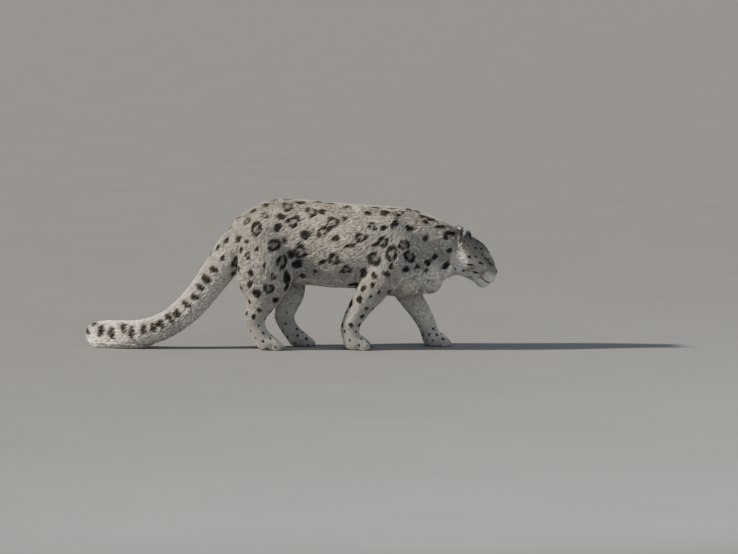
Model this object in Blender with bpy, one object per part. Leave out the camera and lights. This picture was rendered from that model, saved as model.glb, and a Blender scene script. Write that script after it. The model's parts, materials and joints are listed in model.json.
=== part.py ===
# A snow leopard at life size, standing with its head low and the end of its tail on the floor.
# X runs from the tail to the nose, Y to the animal's left and Z up. Every length is in metres.
# The outlines go out to the tips of the coat. The body is modelled whole and then parted with thin cuts.

import math

import bmesh
import bpy
import numpy as np
from mathutils import Matrix, Vector

# Driving dimensions
CUT_GAP = 0.0004            # between two neighbouring pieces
EAR_GAP = 0.0009            # between an ear and its slot, as its walls are curved
SOLE_DEPTH = 0.005          # what the floor takes off each paw and the tail to leave a flat

# How the whole body is fused, rounded off and thinned out
VOXEL = 0.0050
SMOOTH_FACTOR = 0.6
SMOOTH_ROUNDS = 16
SOFTNESS = {"rest": 1.0, "head": 0.35, "paws": 0.25}
REGION_TRIANGLES = {"rest": 1300, "head": 880, "paws": 540}
FACE_MIDDLE = (0.03, 0.0, 0.0)      # in the head's own frame
FACE_REACH = 0.135
PAW_TOP = 0.075
TAIL_BEHIND = -0.20

HEAD_CENTRE = (0.735, 0.012, 0.381)
HEAD_PITCH = math.radians(24)       # nose down
HEAD_YAW = math.radians(12)         # to the animal's left, away from the viewer
HEAD_SCALE = 1.05

EYE_RADIUS = 0.0135
EYE_PLACE = (0.0680, 0.0365, 0.0165)     # in the head's own frame, left eye
EAR_WIDTH = 0.070
EAR_HEIGHT = 0.071
EAR_THICKNESS = 0.007
EAR_CUP = 0.015             # how far the middle of the ear lies behind its edges
EAR_ROOT = 0.014            # how deep the ear is set in the head
EAR_PLACE = (-0.044, 0.059, 0.050)      # middle of the left ear's base, in the head's own frame
EAR_OUTWARDS = math.radians(50)
EAR_SPLAY = math.radians(34)
EAR_LAID_BACK = math.radians(10)
NOSE_PLACE = (0.1255, 0.0, -0.0100)
NOSE_HALF_SIZES = (0.0100, 0.0165, 0.0115)
NOSE_TILT = math.radians(-14)

# One colour for each kind of surface: red, green, blue, roughness
COLOURS = {
    "coat_back": (0.58, 0.55, 0.50, 0.85),
    "coat_pale": (0.78, 0.76, 0.71, 0.85),
    "nose_leather": (0.32, 0.20, 0.18, 0.45),
    "eye": (0.46, 0.48, 0.34, 0.08),
}

# Stations of the trunk from the rump to the breast: X, height of the middle, half height, half width
TRUNK = [
    (-0.222, 0.462, 0.070, 0.045),
    (-0.200, 0.456, 0.118, 0.074),
    (-0.160, 0.450, 0.164, 0.104),
    (-0.105, 0.443, 0.184, 0.116),
    (-0.034, 0.441, 0.188, 0.117),
    (0.050, 0.444, 0.181, 0.119),
    (0.155, 0.437, 0.176, 0.126),
    (0.260, 0.427, 0.178, 0.131),
    (0.365, 0.414, 0.185, 0.131),
    (0.449, 0.403, 0.190, 0.123),
    (0.520, 0.394, 0.182, 0.108),
    (0.575, 0.385, 0.152, 0.088),
    (0.612, 0.379, 0.104, 0.060),
]

# Stations of the neck, limbs and tail: X, Y, Z, half size in the plane of the bend, half size across it
NECK = [
    (0.440, 0.000, 0.446, 0.135, 0.095),
    (0.520, 0.000, 0.446, 0.130, 0.098),
    (0.585, 0.002, 0.438, 0.112, 0.094),
    (0.640, 0.004, 0.420, 0.100, 0.090),
    (0.690, 0.008, 0.394, 0.092, 0.086),
    (0.730, 0.012, 0.372, 0.078, 0.078),
]
HIND_RIGHT = [
    (-0.128, -0.055, 0.470, 0.080, 0.050),
    (-0.116, -0.074, 0.400, 0.112, 0.062),
    (-0.114, -0.082, 0.330, 0.122, 0.064),
    (-0.122, -0.086, 0.268, 0.110, 0.059),
    (-0.128, -0.087, 0.212, 0.077, 0.050),
    (-0.149, -0.087, 0.163, 0.050, 0.040),
    (-0.163, -0.087, 0.128, 0.044, 0.036),
    (-0.147, -0.088, 0.084, 0.038, 0.036),
    (-0.122, -0.089, 0.044, 0.037, 0.041),
    (-0.100, -0.090, 0.026, 0.030, 0.042),
]
HIND_LEFT = [
    (-0.122, 0.055, 0.470, 0.080, 0.050),
    (-0.096, 0.074, 0.400, 0.112, 0.062),
    (-0.070, 0.082, 0.334, 0.116, 0.063),
    (-0.038, 0.086, 0.272, 0.098, 0.057),
    (-0.020, 0.087, 0.215, 0.071, 0.049),
    (-0.030, 0.087, 0.166, 0.049, 0.040),
    (-0.044, 0.087, 0.130, 0.044, 0.036),
    (-0.024, 0.088, 0.085, 0.038, 0.036),
    (0.004, 0.089, 0.045, 0.037, 0.041),
    (0.026, 0.090, 0.026, 0.030, 0.042),
]
FORE_RIGHT = [
    (0.452, -0.070, 0.470, 0.075, 0.044),
    (0.436, -0.088, 0.400, 0.082, 0.052),
    (0.396, -0.095, 0.330, 0.080, 0.055),
    (0.346, -0.093, 0.266, 0.066, 0.051),
    (0.300, -0.089, 0.206, 0.054, 0.047),
    (0.260, -0.086, 0.142, 0.045, 0.041),
    (0.238, -0.085, 0.092, 0.040, 0.039),
    (0.248, -0.085, 0.050, 0.037, 0.041),
    (0.268, -0.086, 0.028, 0.032, 0.043),
]
FORE_LEFT = [
    (0.462, 0.070, 0.470, 0.075, 0.044),
    (0.480, 0.088, 0.400, 0.082, 0.052),
    (0.476, 0.095, 0.330, 0.078, 0.055),
    (0.466, 0.093, 0.268, 0.066, 0.051),
    (0.494, 0.089, 0.206, 0.054, 0.047),
    (0.536, 0.086, 0.142, 0.045, 0.041),
    (0.563, 0.085, 0.092, 0.040, 0.039),
    (0.577, 0.085, 0.050, 0.037, 0.041),
    (0.600, 0.086, 0.028, 0.032, 0.043),
]
TAIL = [
    (-0.150, 0.000, 0.496, 0.064, 0.056),
    (-0.226, 0.000, 0.440, 0.078, 0.064),
    (-0.292, -0.002, 0.352, 0.073, 0.062),
    (-0.350, -0.006, 0.273, 0.066, 0.060),
    (-0.412, -0.012, 0.194, 0.062, 0.058),
    (-0.484, -0.017, 0.128, 0.059, 0.057),
    (-0.568, -0.019, 0.081, 0.058, 0.057),
    (-0.662, -0.014, 0.058, 0.060, 0.060),
    (-0.762, 0.004, 0.056, 0.062, 0.062),
    (-0.832, 0.024, 0.053, 0.056, 0.057),
    (-0.866, 0.036, 0.046, 0.034, 0.036),
]

# Middles of the four paws: X, Y. A paw is a pad and four toes: how far each toe lies forwards and to the side
PAWS = [(-0.094, -0.090), (0.034, 0.090), (0.272, -0.086), (0.604, 0.086)]
PAD_HALF_SIZES = (0.056, 0.046, 0.034)
PAD_BACK = 0.006
TOE_HALF_SIZES = (0.0270, 0.0135, 0.0235)
TOES = [(0.026, -0.0330), (0.037, -0.0115), (0.037, 0.0115), (0.026, 0.0330)]

# Rounded masses under the coat: middle, half sizes, turn about Y in degrees
BODY_MASSES = [
    ((-0.110, -0.062, 0.425), (0.118, 0.064, 0.150), 8),     # right haunch
    ((-0.100, 0.062, 0.425), (0.118, 0.064, 0.150), 0),      # left haunch
    ((0.430, -0.064, 0.464), (0.074, 0.050, 0.132), -24),    # right shoulder blade
    ((0.440, 0.064, 0.458), (0.074, 0.050, 0.130), -30),     # left shoulder blade
    ((0.452, -0.078, 0.360), (0.085, 0.048, 0.085), 0),      # right upper arm
    ((0.500, 0.078, 0.352), (0.080, 0.046, 0.085), 0),       # left upper arm
    ((0.560, 0.000, 0.345), (0.074, 0.092, 0.124), -12),     # breast
    ((0.200, 0.000, 0.345), (0.270, 0.112, 0.095), 2),       # belly fur
    ((-0.172, 0.000, 0.488), (0.090, 0.070, 0.112), 40),     # root of the tail
    ((0.632, 0.004, 0.350), (0.062, 0.080, 0.064), 30),      # ruff of the throat
]

# The head in its own frame, X to the nose and Z to the crown. At each X: the crown, the widest line,
# the underside, the half width there, and how square the ring is above that line
SKULL = [
    (-0.108, 0.056, -0.005, -0.062, 0.054, 2.0),
    (-0.082, 0.074, -0.010, -0.078, 0.072, 2.1),
    (-0.050, 0.082, -0.016, -0.083, 0.082, 2.2),
    (-0.018, 0.084, -0.022, -0.082, 0.086, 2.2),
    (0.012, 0.081, -0.026, -0.080, 0.082, 2.1),
    (0.038, 0.074, -0.029, -0.080, 0.072, 2.0),
    (0.060, 0.062, -0.032, -0.081, 0.058, 1.9),
    (0.076, 0.048, -0.035, -0.083, 0.048, 1.8),
    (0.090, 0.033, -0.037, -0.084, 0.044, 1.8),
    (0.103, 0.019, -0.037, -0.081, 0.041, 1.9),
    (0.114, 0.009, -0.036, -0.072, 0.037, 2.0),
    (0.124, 0.001, -0.034, -0.060, 0.031, 2.0),
    (0.131, -0.007, -0.031, -0.047, 0.022, 2.0),
    (0.135, -0.015, -0.028, -0.038, 0.011, 2.0),
]
HEAD_MASSES = [
    ((0.095, 0.000, -0.0750), (0.0260, 0.0280, 0.0160), -6), # chin
    ((0.092, 0.000, 0.0160), (0.048, 0.0220, 0.0165), 44),   # bridge of the nose
]
HEAD_PAIRS = [
    ((0.104, 0.0190, -0.0380), (0.0300, 0.0245, 0.0250), 8), # whisker pad
    ((0.050, 0.0440, -0.0140), (0.034, 0.024, 0.025), 16),   # cheek bone
    ((0.056, 0.0330, 0.0380), (0.024, 0.0200, 0.0140), 34),  # brow
    ((-0.010, 0.0500, -0.036), (0.056, 0.040, 0.046), 0),    # cheek
    ((-0.044, 0.0480, 0.036), (0.034, 0.028, 0.032), 0),     # base of the ear
]

# What parts a leg from the trunk
LEG_MARGIN = 0.014          # how far the cut stands off the leg before and behind
LEG_INNER_Y = 0.008         # place of the cut's inner face below the belly
LEG_INNER_RISE = 0.24       # how much that face leans out for each metre above the belly
LEG_OUTER_Y = 0.30
LEG_TOP = [(-0.002, 0.085, 0.62), (0.0, 0.055, 0.92)]   # past the first station: X, Z, share of its depth
LEG_BELOW = -0.030
TOE_REACH = 0.060
BELLY_HEIGHT = 0.250
LEG_WORDS = {"hind": ("thigh", "shank", "foot"), "fore": ("shoulder", "forearm", "paw")}
LEG_CUTS = (3, 6)           # at which stations a leg is cut
LEG_MIDDLES = (1, 4, -1)    # the station nearest the middle of each piece
LEG_PLATE = 0.30

# The plates that part the rest: place, normal, width and height. The tail's own lie at its stations
TRUNK_PLATES = [
    ((-0.216, 0.0, 0.445), (-1, 0, 0.167), 0.30, 0.36),      # tail and rump
    ((-0.010, 0.0, 0.450), (1, 0, 0), 0.50, 0.50),           # rump and barrel
    ((0.300, 0.0, 0.450), (1, 0, 0), 0.50, 0.50),            # barrel and chest
    ((0.530, 0.0, 0.440), (0.90, 0, 0.43), 0.50, 0.50),      # chest and neck
]
TAIL_PLATES = [(3, 0.17), (5, 0.14), (7, 0.14)]
HEAD_PLATES = {
    "nape": ((-0.074, 0, 0), (1, 0, 0.30), 0.32, 0.32),
    "muzzle": ((0.088, 0, 0.0165), (1, 0, -0.20), 0.16, 0.26),
    "mouth": ((0.128, 0, -0.052), (-0.10, 0, 1), 0.12, 0.12),
}

# A point near the middle of each piece, which gives it its name
TRUNK_MIDDLES = {
    "tail_root": (-0.285, 0, 0.37),
    "tail_upper": (-0.41, 0, 0.20),
    "tail_lower": (-0.57, 0, 0.09),
    "tail_tip": (-0.77, 0, 0.055),
    "rump": (-0.11, 0, 0.44),
    "barrel": (0.15, 0, 0.44),
    "chest": (0.45, 0, 0.42),
    "neck": (0.62, 0, 0.42),
    "head": (0.76, 0, 0.36),
}
HEAD_MIDDLES = {"head": (-0.02, 0, 0), "muzzle": (0.110, 0, -0.025), "jaw": (0.096, 0, -0.072)}


def clear_scene():
    for old in list(bpy.data.objects):
        bpy.data.objects.remove(old)


def make_object(name, mesh):
    made = bpy.data.objects.new(name, mesh)
    bpy.context.scene.collection.objects.link(made)
    return made


def object_from(name, bm):
    bmesh.ops.recalc_face_normals(bm, faces=bm.faces)
    mesh = bpy.data.meshes.new(name)
    bm.to_mesh(mesh)
    bm.free()
    return make_object(name, mesh)


def evaluated_mesh(thing):
    bpy.context.view_layer.update()
    graph = bpy.context.evaluated_depsgraph_get()
    return bpy.data.meshes.new_from_object(thing.evaluated_get(graph))


def apply_modifiers(thing):
    mesh = evaluated_mesh(thing)
    thing.modifiers.clear()
    thing.data = mesh
    return thing


def smooth_stations(stations, steps):
    """Stations on a smooth curve through the given ones."""
    rows = np.array(stations)
    padded = np.vstack([2 * rows[0] - rows[1], rows, 2 * rows[-1] - rows[-2]])
    found = []
    for i in range(1, len(padded) - 2):
        before, start, end, after = padded[i - 1:i + 3]
        for t in np.arange(steps) / steps:
            found.append(0.5 * (2 * start + (end - before) * t
                                + (2 * before - 5 * start + 4 * end - after) * t ** 2
                                + (3 * start - before - 3 * end + after) * t ** 3))
    found.append(rows[-1])
    return np.array(found)


def add_loft(bm, stations, sides=24, steps=4):
    """A closed skin over oval rings, each square to the line that it follows."""
    rows = smooth_stations(stations, steps)
    ways = np.gradient(rows[:, :3], axis=0)
    rings = []
    for row, way in zip(rows, ways):
        along = Vector(way).normalized()
        across = (Vector((0, 1, 0)) - along * along.y).normalized()
        deep = across.cross(along)
        ring = []
        for k in range(sides):
            turn = 2 * math.pi * k / sides
            offset = deep * (row[3] * math.cos(turn)) + across * (row[4] * math.sin(turn))
            ring.append(bm.verts.new(Vector(row[:3]) + offset))
        rings.append(ring)
    for one, two in zip(rings, rings[1:]):
        for k in range(sides):
            bm.faces.new((one[k], one[k - 1], two[k - 1], two[k]))
    bm.faces.new(rings[0])
    bm.faces.new(list(reversed(rings[-1])))


def add_skull(bm, stations, frame, sides=28, steps=3):
    """The head's closed skin: its rings are narrower above their widest line than below it."""
    rings = []
    for x, crown, widest, underside, half_width, square in smooth_stations(stations, steps):
        ring = []
        for k in range(sides):
            up = math.cos(2 * math.pi * k / sides)
            out = math.sin(2 * math.pi * k / sides)
            reach = crown - widest if up > 0 else widest - underside
            power = 2 / (square if up > 0 else 2.3)
            y = half_width * math.copysign(abs(out) ** power, out)
            z = widest + reach * math.copysign(abs(up) ** power, up)
            ring.append(bm.verts.new(frame @ Vector((x, y, z))))
        rings.append(ring)
    for one, two in zip(rings, rings[1:]):
        for k in range(sides):
            bm.faces.new((one[k], one[k - 1], two[k - 1], two[k]))
    bm.faces.new(rings[0])
    bm.faces.new(list(reversed(rings[-1])))


def add_mass(bm, middle, half_sizes, pitch_degrees, frame=Matrix.Identity(4)):
    """An ellipsoid, turned about Y."""
    place = (frame @ Matrix.Translation(middle) @ Matrix.Rotation(math.radians(pitch_degrees), 4, "Y")
             @ Matrix.Diagonal((*half_sizes, 1)))
    bmesh.ops.create_uvsphere(bm, u_segments=24, v_segments=16, radius=1, matrix=place)


def head_frame():
    return (Matrix.Translation(HEAD_CENTRE) @ Matrix.Rotation(HEAD_YAW, 4, "Z")
            @ Matrix.Rotation(HEAD_PITCH, 4, "Y") @ Matrix.Scale(HEAD_SCALE, 4))


def add_paw(bm, x, y):
    """A broad pad and four toes, with their undersides a little below the floor."""
    add_mass(bm, (x - PAD_BACK, y, PAD_HALF_SIZES[2] - SOLE_DEPTH), PAD_HALF_SIZES, 0)
    for forward, side in TOES:
        add_mass(bm, (x + forward, y + side, TOE_HALF_SIZES[2] - SOLE_DEPTH), TOE_HALF_SIZES, 0)


def body_blank():
    """The whole body as overlapping masses, made into one skin."""
    bm = bmesh.new()
    add_loft(bm, [(x, 0.0, z, high, wide) for x, z, high, wide in TRUNK], sides=32)
    add_skull(bm, SKULL, head_frame())
    add_loft(bm, NECK)
    for leg in (HIND_RIGHT, HIND_LEFT, FORE_RIGHT, FORE_LEFT):
        add_loft(bm, leg)
    add_loft(bm, TAIL)
    for mass in BODY_MASSES:
        add_mass(bm, *mass)
    for x, y in PAWS:
        add_paw(bm, x, y)
    frame = head_frame()
    for mass in HEAD_MASSES:
        add_mass(bm, *mass, frame)
    for (x, y, z), half_sizes, pitch in HEAD_PAIRS:
        for side in (1, -1):
            add_mass(bm, (x, side * y, z), half_sizes, pitch, frame)
    return object_from("body", bm)


def region_of(co):
    """Which region of the body a point belongs to."""
    if (co - in_head(FACE_MIDDLE)).length < FACE_REACH:
        return "head"
    if co.z < PAW_TOP and co.x > TAIL_BEHIND:
        return "paws"
    return "rest"


def soften(body):
    """Rounds off the joins between the masses, the face and the paws less than the rest."""
    group = body.vertex_groups.new(name="soften")
    for vertex in body.data.vertices:
        group.add([vertex.index], SOFTNESS[region_of(vertex.co)], "REPLACE")
    smooth = body.modifiers.new("Soften", "SMOOTH")
    smooth.factor = SMOOTH_FACTOR
    smooth.iterations = SMOOTH_ROUNDS
    smooth.vertex_group = group.name
    apply_modifiers(body)
    body.vertex_groups.clear()


def thin_out(body, region, triangles):
    """Brings one region down to a number of triangles and leaves the others as they are."""
    group = body.vertex_groups.new(name="thin")
    inside = {v.index for v in body.data.vertices if region_of(v.co) == region}
    group.add(list(inside), 1.0, "REPLACE")
    body.data.calc_loop_triangles()
    total = len(body.data.loop_triangles)
    here = sum(all(v in inside for v in t.vertices) for t in body.data.loop_triangles)
    thin = body.modifiers.new("Thin", "DECIMATE")
    thin.ratio = (total - here + triangles) / total
    thin.vertex_group = group.name
    apply_modifiers(body)
    body.vertex_groups.clear()


def body_skin():
    body = body_blank()
    fused = body.modifiers.new("Fuse", "REMESH")
    fused.mode = "VOXEL"
    fused.voxel_size = VOXEL
    apply_modifiers(body)
    soften(body)
    for region, triangles in REGION_TRIANGLES.items():
        thin_out(body, region, triangles)
    return body


def flatten_soles(body):
    """The floor takes a thin slice off the paws and the tail, so that all rest on flats at one level."""
    bm = bmesh.new()
    bm.from_mesh(body.data)
    cut = bmesh.ops.bisect_plane(bm, geom=bm.verts[:] + bm.edges[:] + bm.faces[:], plane_co=(0, 0, 0),
                                 plane_no=(0, 0, 1), clear_inner=True)
    rim = [e for e in cut["geom_cut"] if isinstance(e, bmesh.types.BMEdge)]
    bmesh.ops.holes_fill(bm, edges=rim)
    bmesh.ops.recalc_face_normals(bm, faces=bm.faces)
    for vertex in bm.verts:
        if abs(vertex.co.z) < 1e-6:
            vertex.co.z = 0.0
    bm.to_mesh(body.data)
    bm.free()


def boolean(thing, cutter, operation):
    """A new mesh: thing cut by cutter."""
    modifier = thing.modifiers.new("Cut", "BOOLEAN")
    modifier.object = cutter
    modifier.operation = operation
    modifier.solver = "EXACT"
    mesh = evaluated_mesh(thing)
    thing.modifiers.remove(modifier)
    return mesh


def plate(place, normal, wide, high):
    """A thin cutter square to normal."""
    turn = Vector(normal).to_track_quat("Z", "X").to_matrix().to_4x4()
    bm = bmesh.new()
    bmesh.ops.create_cube(bm, size=1, matrix=Matrix.Translation(place) @ turn
                          @ Matrix.Diagonal((high, wide, CUT_GAP, 1)))
    return object_from("plate", bm)


def loose_parts(thing):
    """The separate closed bodies of a mesh, largest first."""
    bm = bmesh.new()
    bm.from_mesh(thing.data)
    left = set(bm.verts)
    found = []
    while left:
        todo = [left.pop()]
        part = set(todo)
        while todo:
            for edge in todo.pop().link_edges:
                for vertex in edge.verts:
                    if vertex in left:
                        left.discard(vertex)
                        part.add(vertex)
                        todo.append(vertex)
        found.append({vertex.index for vertex in part})
    bm.free()
    return sorted(found, key=len, reverse=True)


def part_with_plates(thing, plates, names):
    """Cuts thing with thin plates. Each piece takes the name whose point lies nearest its middle."""
    thing.name = "uncut"
    for cutter in plates:
        thing.data = boolean(thing, cutter, "DIFFERENCE")
        bpy.data.objects.remove(cutter)
    pieces = []
    for kept in loose_parts(thing)[:len(names)]:
        bm = bmesh.new()
        bm.from_mesh(thing.data)
        bmesh.ops.delete(bm, geom=[v for v in bm.verts if v.index not in kept], context="VERTS")
        middle = sum((v.co for v in bm.verts), Vector()) / len(bm.verts)
        name = min(names, key=lambda n: (Vector(names[n]) - middle).length)
        pieces.append(object_from(name, bm))
    bpy.data.objects.remove(thing)
    return pieces


def leg_cutter(stations, side, grow):
    """A block round one leg that follows its line. Its inner face leans out above the belly."""
    rows = [(x, z, deep + LEG_MARGIN) for x, _, z, deep, _ in stations]
    top_x, top_z, top_deep = rows[0]
    last_x, _, last_deep = rows[-1]
    above = [(top_x + x, top_z + z, top_deep * share) for x, z, share in LEG_TOP]
    rows = above + rows[:-1] + [(last_x + LEG_MARGIN, LEG_BELOW, last_deep + TOE_REACH)]
    bm = bmesh.new()
    rings = []
    for i, (x, z, deep) in enumerate(rows):
        inner = LEG_INNER_Y + max(z - BELLY_HEIGHT, 0) * LEG_INNER_RISE - grow
        level = z + (grow if i == 0 else 0)
        corners = ((-1, inner), (1, inner), (1, LEG_OUTER_Y), (-1, LEG_OUTER_Y))
        rings.append([bm.verts.new((x + way * (deep + grow), side * y, level)) for way, y in corners])
    for one, two in zip(rings, rings[1:]):
        for k in range(4):
            bm.faces.new((one[k], one[k - 1], two[k - 1], two[k]))
    bm.faces.new(rings[0])
    bm.faces.new(rings[-1])
    return object_from("leg_cutter", bm)


def take_off(body, stations, side):
    """Parts a leg from the body and returns it."""
    tight = leg_cutter(stations, side, 0.0)
    wide = leg_cutter(stations, side, CUT_GAP)
    leg = make_object("leg", boolean(body, tight, "INTERSECT"))
    body.data = boolean(body, wide, "DIFFERENCE")
    bpy.data.objects.remove(tight)
    bpy.data.objects.remove(wide)
    return leg


def plate_across(stations, index, size):
    """A plate square to a leg or the tail at one of its stations."""
    here = Vector(stations[index][:3])
    way = Vector(stations[index + 1][:3]) - Vector(stations[index - 1][:3])
    return plate(here, way, size, size)


def make_legs(body):
    legs = {"hind_right": HIND_RIGHT, "hind_left": HIND_LEFT, "fore_right": FORE_RIGHT, "fore_left": FORE_LEFT}
    for leg_name, stations in legs.items():
        end, side_name = leg_name.split("_")
        leg = take_off(body, stations, -1 if side_name == "right" else 1)
        plates = [plate_across(stations, cut, LEG_PLATE) for cut in LEG_CUTS]
        names = {f"{leg_name}_{word}": stations[k][:3] for word, k in zip(LEG_WORDS[end], LEG_MIDDLES)}
        part_with_plates(leg, plates, names)


def in_head(point):
    return head_frame() @ Vector(point)


def head_way(vector):
    return (head_frame().to_3x3() @ Vector(vector)).normalized()


def head_plate(name):
    place, normal, wide, high = HEAD_PLATES[name]
    return plate(in_head(place), head_way(normal), wide, high)


def make_axial_pieces(body):
    """Parts the head, neck, trunk and tail."""
    plates = [plate(*one) for one in TRUNK_PLATES]
    plates += [plate_across(TAIL, index, size) for index, size in TAIL_PLATES]
    plates.append(head_plate("nape"))
    return part_with_plates(body, plates, TRUNK_MIDDLES)


def ear_sheet(side, grow):
    """A rounded ear, cupped forwards: a curved sheet with a true thickness."""
    across_steps = 7
    up_steps = 5
    top = 0.93 * math.pi / 2
    bm = bmesh.new()
    rows = []
    for i in range(up_steps + 1):
        turn = top * i / up_steps
        up = math.sin(turn) / math.sin(top)
        half = grow + EAR_WIDTH / 2 * math.cos(turn) ** 0.55
        row = []
        for k in range(across_steps + 1):
            across = 2 * k / across_steps - 1
            cup = EAR_CUP * (1 - across ** 2) * (1 - 0.45 * up)
            height = (EAR_HEIGHT + 2 * grow) * up - EAR_ROOT - grow
            row.append(bm.verts.new((-cup - 0.010 * up, half * across, height)))
        rows.append(row)
    for low, high in zip(rows, rows[1:]):
        for k in range(across_steps):
            bm.faces.new((low[k], low[k + 1], high[k + 1], high[k]))
    x, y, z = EAR_PLACE
    lean = (Matrix.Translation((x, side * y, z)) @ Matrix.Rotation(side * EAR_OUTWARDS, 4, "Z")
            @ Matrix.Rotation(-side * EAR_SPLAY, 4, "X") @ Matrix.Rotation(-EAR_LAID_BACK, 4, "Y"))
    bm.transform(head_frame() @ lean)
    ear = object_from("ear_left" if side > 0 else "ear_right", bm)
    solidify = ear.modifiers.new("Thickness", "SOLIDIFY")
    solidify.thickness = EAR_THICKNESS + 2 * grow
    solidify.offset = 0.0
    solidify.use_even_offset = True
    return apply_modifiers(ear)


def eyeball(side, grow):
    x, y, z = EYE_PLACE
    bm = bmesh.new()
    turn = head_way((1, 0, 0)).to_track_quat("Z", "X").to_matrix().to_4x4()
    bmesh.ops.create_uvsphere(bm, u_segments=12, v_segments=8, radius=EYE_RADIUS + grow,
                              matrix=Matrix.Translation(in_head((x, side * y, z))) @ turn)
    return object_from("eye_left" if side > 0 else "eye_right", bm)


def nose_leather(grow):
    """The bare end of the nose: broad above, narrow between the nostrils."""
    bm = bmesh.new()
    bmesh.ops.create_uvsphere(bm, u_segments=12, v_segments=8, radius=1)
    for vertex in bm.verts:
        narrow = 0.62 + 0.38 * min(1, max(0, (vertex.co.z + 1) / 1.5))
        vertex.co.y *= narrow
    size = Matrix.Diagonal((*(half + grow for half in NOSE_HALF_SIZES), 1))
    bm.transform(head_frame() @ Matrix.Translation(NOSE_PLACE) @ Matrix.Rotation(NOSE_TILT, 4, "Y") @ size)
    return object_from("nose", bm)


def finish_head(head):
    """Sockets for the eyes, slots for the ears, a seat for the nose, and the muzzle and jaw as pieces."""
    cutters = [nose_leather(CUT_GAP)]
    for side in (1, -1):
        cutters += [eyeball(side, CUT_GAP), ear_sheet(side, EAR_GAP)]
    for cutter in cutters:
        head.data = boolean(head, cutter, "DIFFERENCE")
        bpy.data.objects.remove(cutter)
    names = {name: in_head(middle) for name, middle in HEAD_MIDDLES.items()}
    part_with_plates(head, [head_plate("muzzle"), head_plate("mouth")], names)
    for side in (1, -1):
        eyeball(side, 0.0)
        ear_sheet(side, 0.0)
    nose_leather(0.0)


def paint(thing, kind):
    red, green, blue, roughness = COLOURS[kind]
    material = bpy.data.materials.get(kind) or bpy.data.materials.new(kind)
    material.use_nodes = True
    shader = material.node_tree.nodes["Principled BSDF"]
    shader.inputs["Base Color"].default_value = (red, green, blue, 1)
    shader.inputs["Roughness"].default_value = roughness
    shader.inputs["Metallic"].default_value = 0.0
    thing.data.materials.clear()
    thing.data.materials.append(material)


def kind_of(name):
    if name == "nose":
        return "nose_leather"
    if name.startswith("eye"):
        return "eye"
    if name in ("jaw", "muzzle") or name.startswith("tail_tip"):
        return "coat_pale"
    return "coat_back"


def centre_on_floor():
    """Puts the middle of the animal's length and width over the origin."""
    points = np.array([v.co for thing in bpy.data.objects for v in thing.data.vertices])
    middle = (points.min(axis=0) + points.max(axis=0)) / 2
    shift = Matrix.Translation((-middle[0], -middle[1], 0))
    for thing in bpy.data.objects:
        thing.data.transform(shift)


def main():
    clear_scene()
    body = body_skin()
    flatten_soles(body)
    make_legs(body)
    pieces = make_axial_pieces(body)
    finish_head(next(p for p in pieces if p.name.startswith("head")))
    for thing in bpy.data.objects:
        paint(thing, kind_of(thing.name))
    centre_on_floor()


main()
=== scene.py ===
import math
import time

import bpy
import numpy as np
from mathutils import Matrix, Vector
from mathutils.bvhtree import BVHTree
from mathutils.kdtree import KDTree
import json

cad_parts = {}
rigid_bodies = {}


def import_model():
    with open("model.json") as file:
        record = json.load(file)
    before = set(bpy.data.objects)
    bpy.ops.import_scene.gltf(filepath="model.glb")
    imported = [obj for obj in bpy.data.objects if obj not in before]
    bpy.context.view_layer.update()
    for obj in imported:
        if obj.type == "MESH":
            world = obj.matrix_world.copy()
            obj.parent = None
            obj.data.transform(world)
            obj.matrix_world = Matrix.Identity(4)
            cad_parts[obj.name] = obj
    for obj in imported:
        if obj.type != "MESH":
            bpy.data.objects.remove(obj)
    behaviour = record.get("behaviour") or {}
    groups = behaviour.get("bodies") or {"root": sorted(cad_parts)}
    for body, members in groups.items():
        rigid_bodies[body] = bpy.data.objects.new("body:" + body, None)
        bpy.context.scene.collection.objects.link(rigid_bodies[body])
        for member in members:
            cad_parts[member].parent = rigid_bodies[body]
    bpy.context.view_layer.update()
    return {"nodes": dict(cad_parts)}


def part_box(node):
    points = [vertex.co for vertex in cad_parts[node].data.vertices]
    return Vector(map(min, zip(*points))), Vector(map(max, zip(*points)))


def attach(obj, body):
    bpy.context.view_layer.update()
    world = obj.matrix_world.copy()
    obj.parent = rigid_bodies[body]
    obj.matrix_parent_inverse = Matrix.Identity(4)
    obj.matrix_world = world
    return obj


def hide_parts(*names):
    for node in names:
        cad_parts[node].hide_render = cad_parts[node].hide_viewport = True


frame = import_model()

# A snow leopard at life size. X runs to its nose, Y to its left and Z up, all in metres.
startTime = time.time()
rng = np.random.default_rng(41)

bareNodes = ["eye_left", "eye_right", "nose"]
fleshNodes = sorted(name for name in frame["nodes"] if name not in bareNodes)


def report(words):
    print(f"{words} ({time.time() - startTime:.0f} s)")


def deselectAll():
    if bpy.context.object and bpy.context.object.mode != "OBJECT":
        bpy.ops.object.mode_set(mode="OBJECT")
    bpy.ops.object.select_all(action="DESELECT")


def takeUp(piece):
    deselectAll()
    piece.select_set(True)
    bpy.context.view_layer.objects.active = piece
    return piece


def unit(vectors):
    return vectors / np.maximum(np.linalg.norm(vectors, axis=-1, keepdims=True), 1e-9)


def ramp(low, high, values):
    # 0 at low, 1 at high, eased at both ends; low may be the larger one
    share = np.clip((values - low) / (high - low), 0, 1)
    return share * share * (3 - 2 * share)


def mix(first, second, share):
    share = np.asarray(share)[..., None]
    return np.asarray(first) * (1 - share) + np.asarray(second) * share


def sway(points, reach, seed):
    # a smooth pattern between about -1 and 1, with waves about one reach long
    draw = np.random.default_rng(seed)
    total = np.zeros(len(points))
    for _ in range(6):
        way = unit(draw.normal(size=3)) * 2 * math.pi / (reach * draw.uniform(0.7, 1.6))
        total += np.sin(points @ way + draw.uniform(0, 2 * math.pi))
    return total / 2.6


def readAll(items, key, width=1, kind=np.float32):
    flat = np.empty(len(items) * width, kind)
    items.foreach_get(key, flat)
    return flat.reshape(-1, width) if width > 1 else flat


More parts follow.
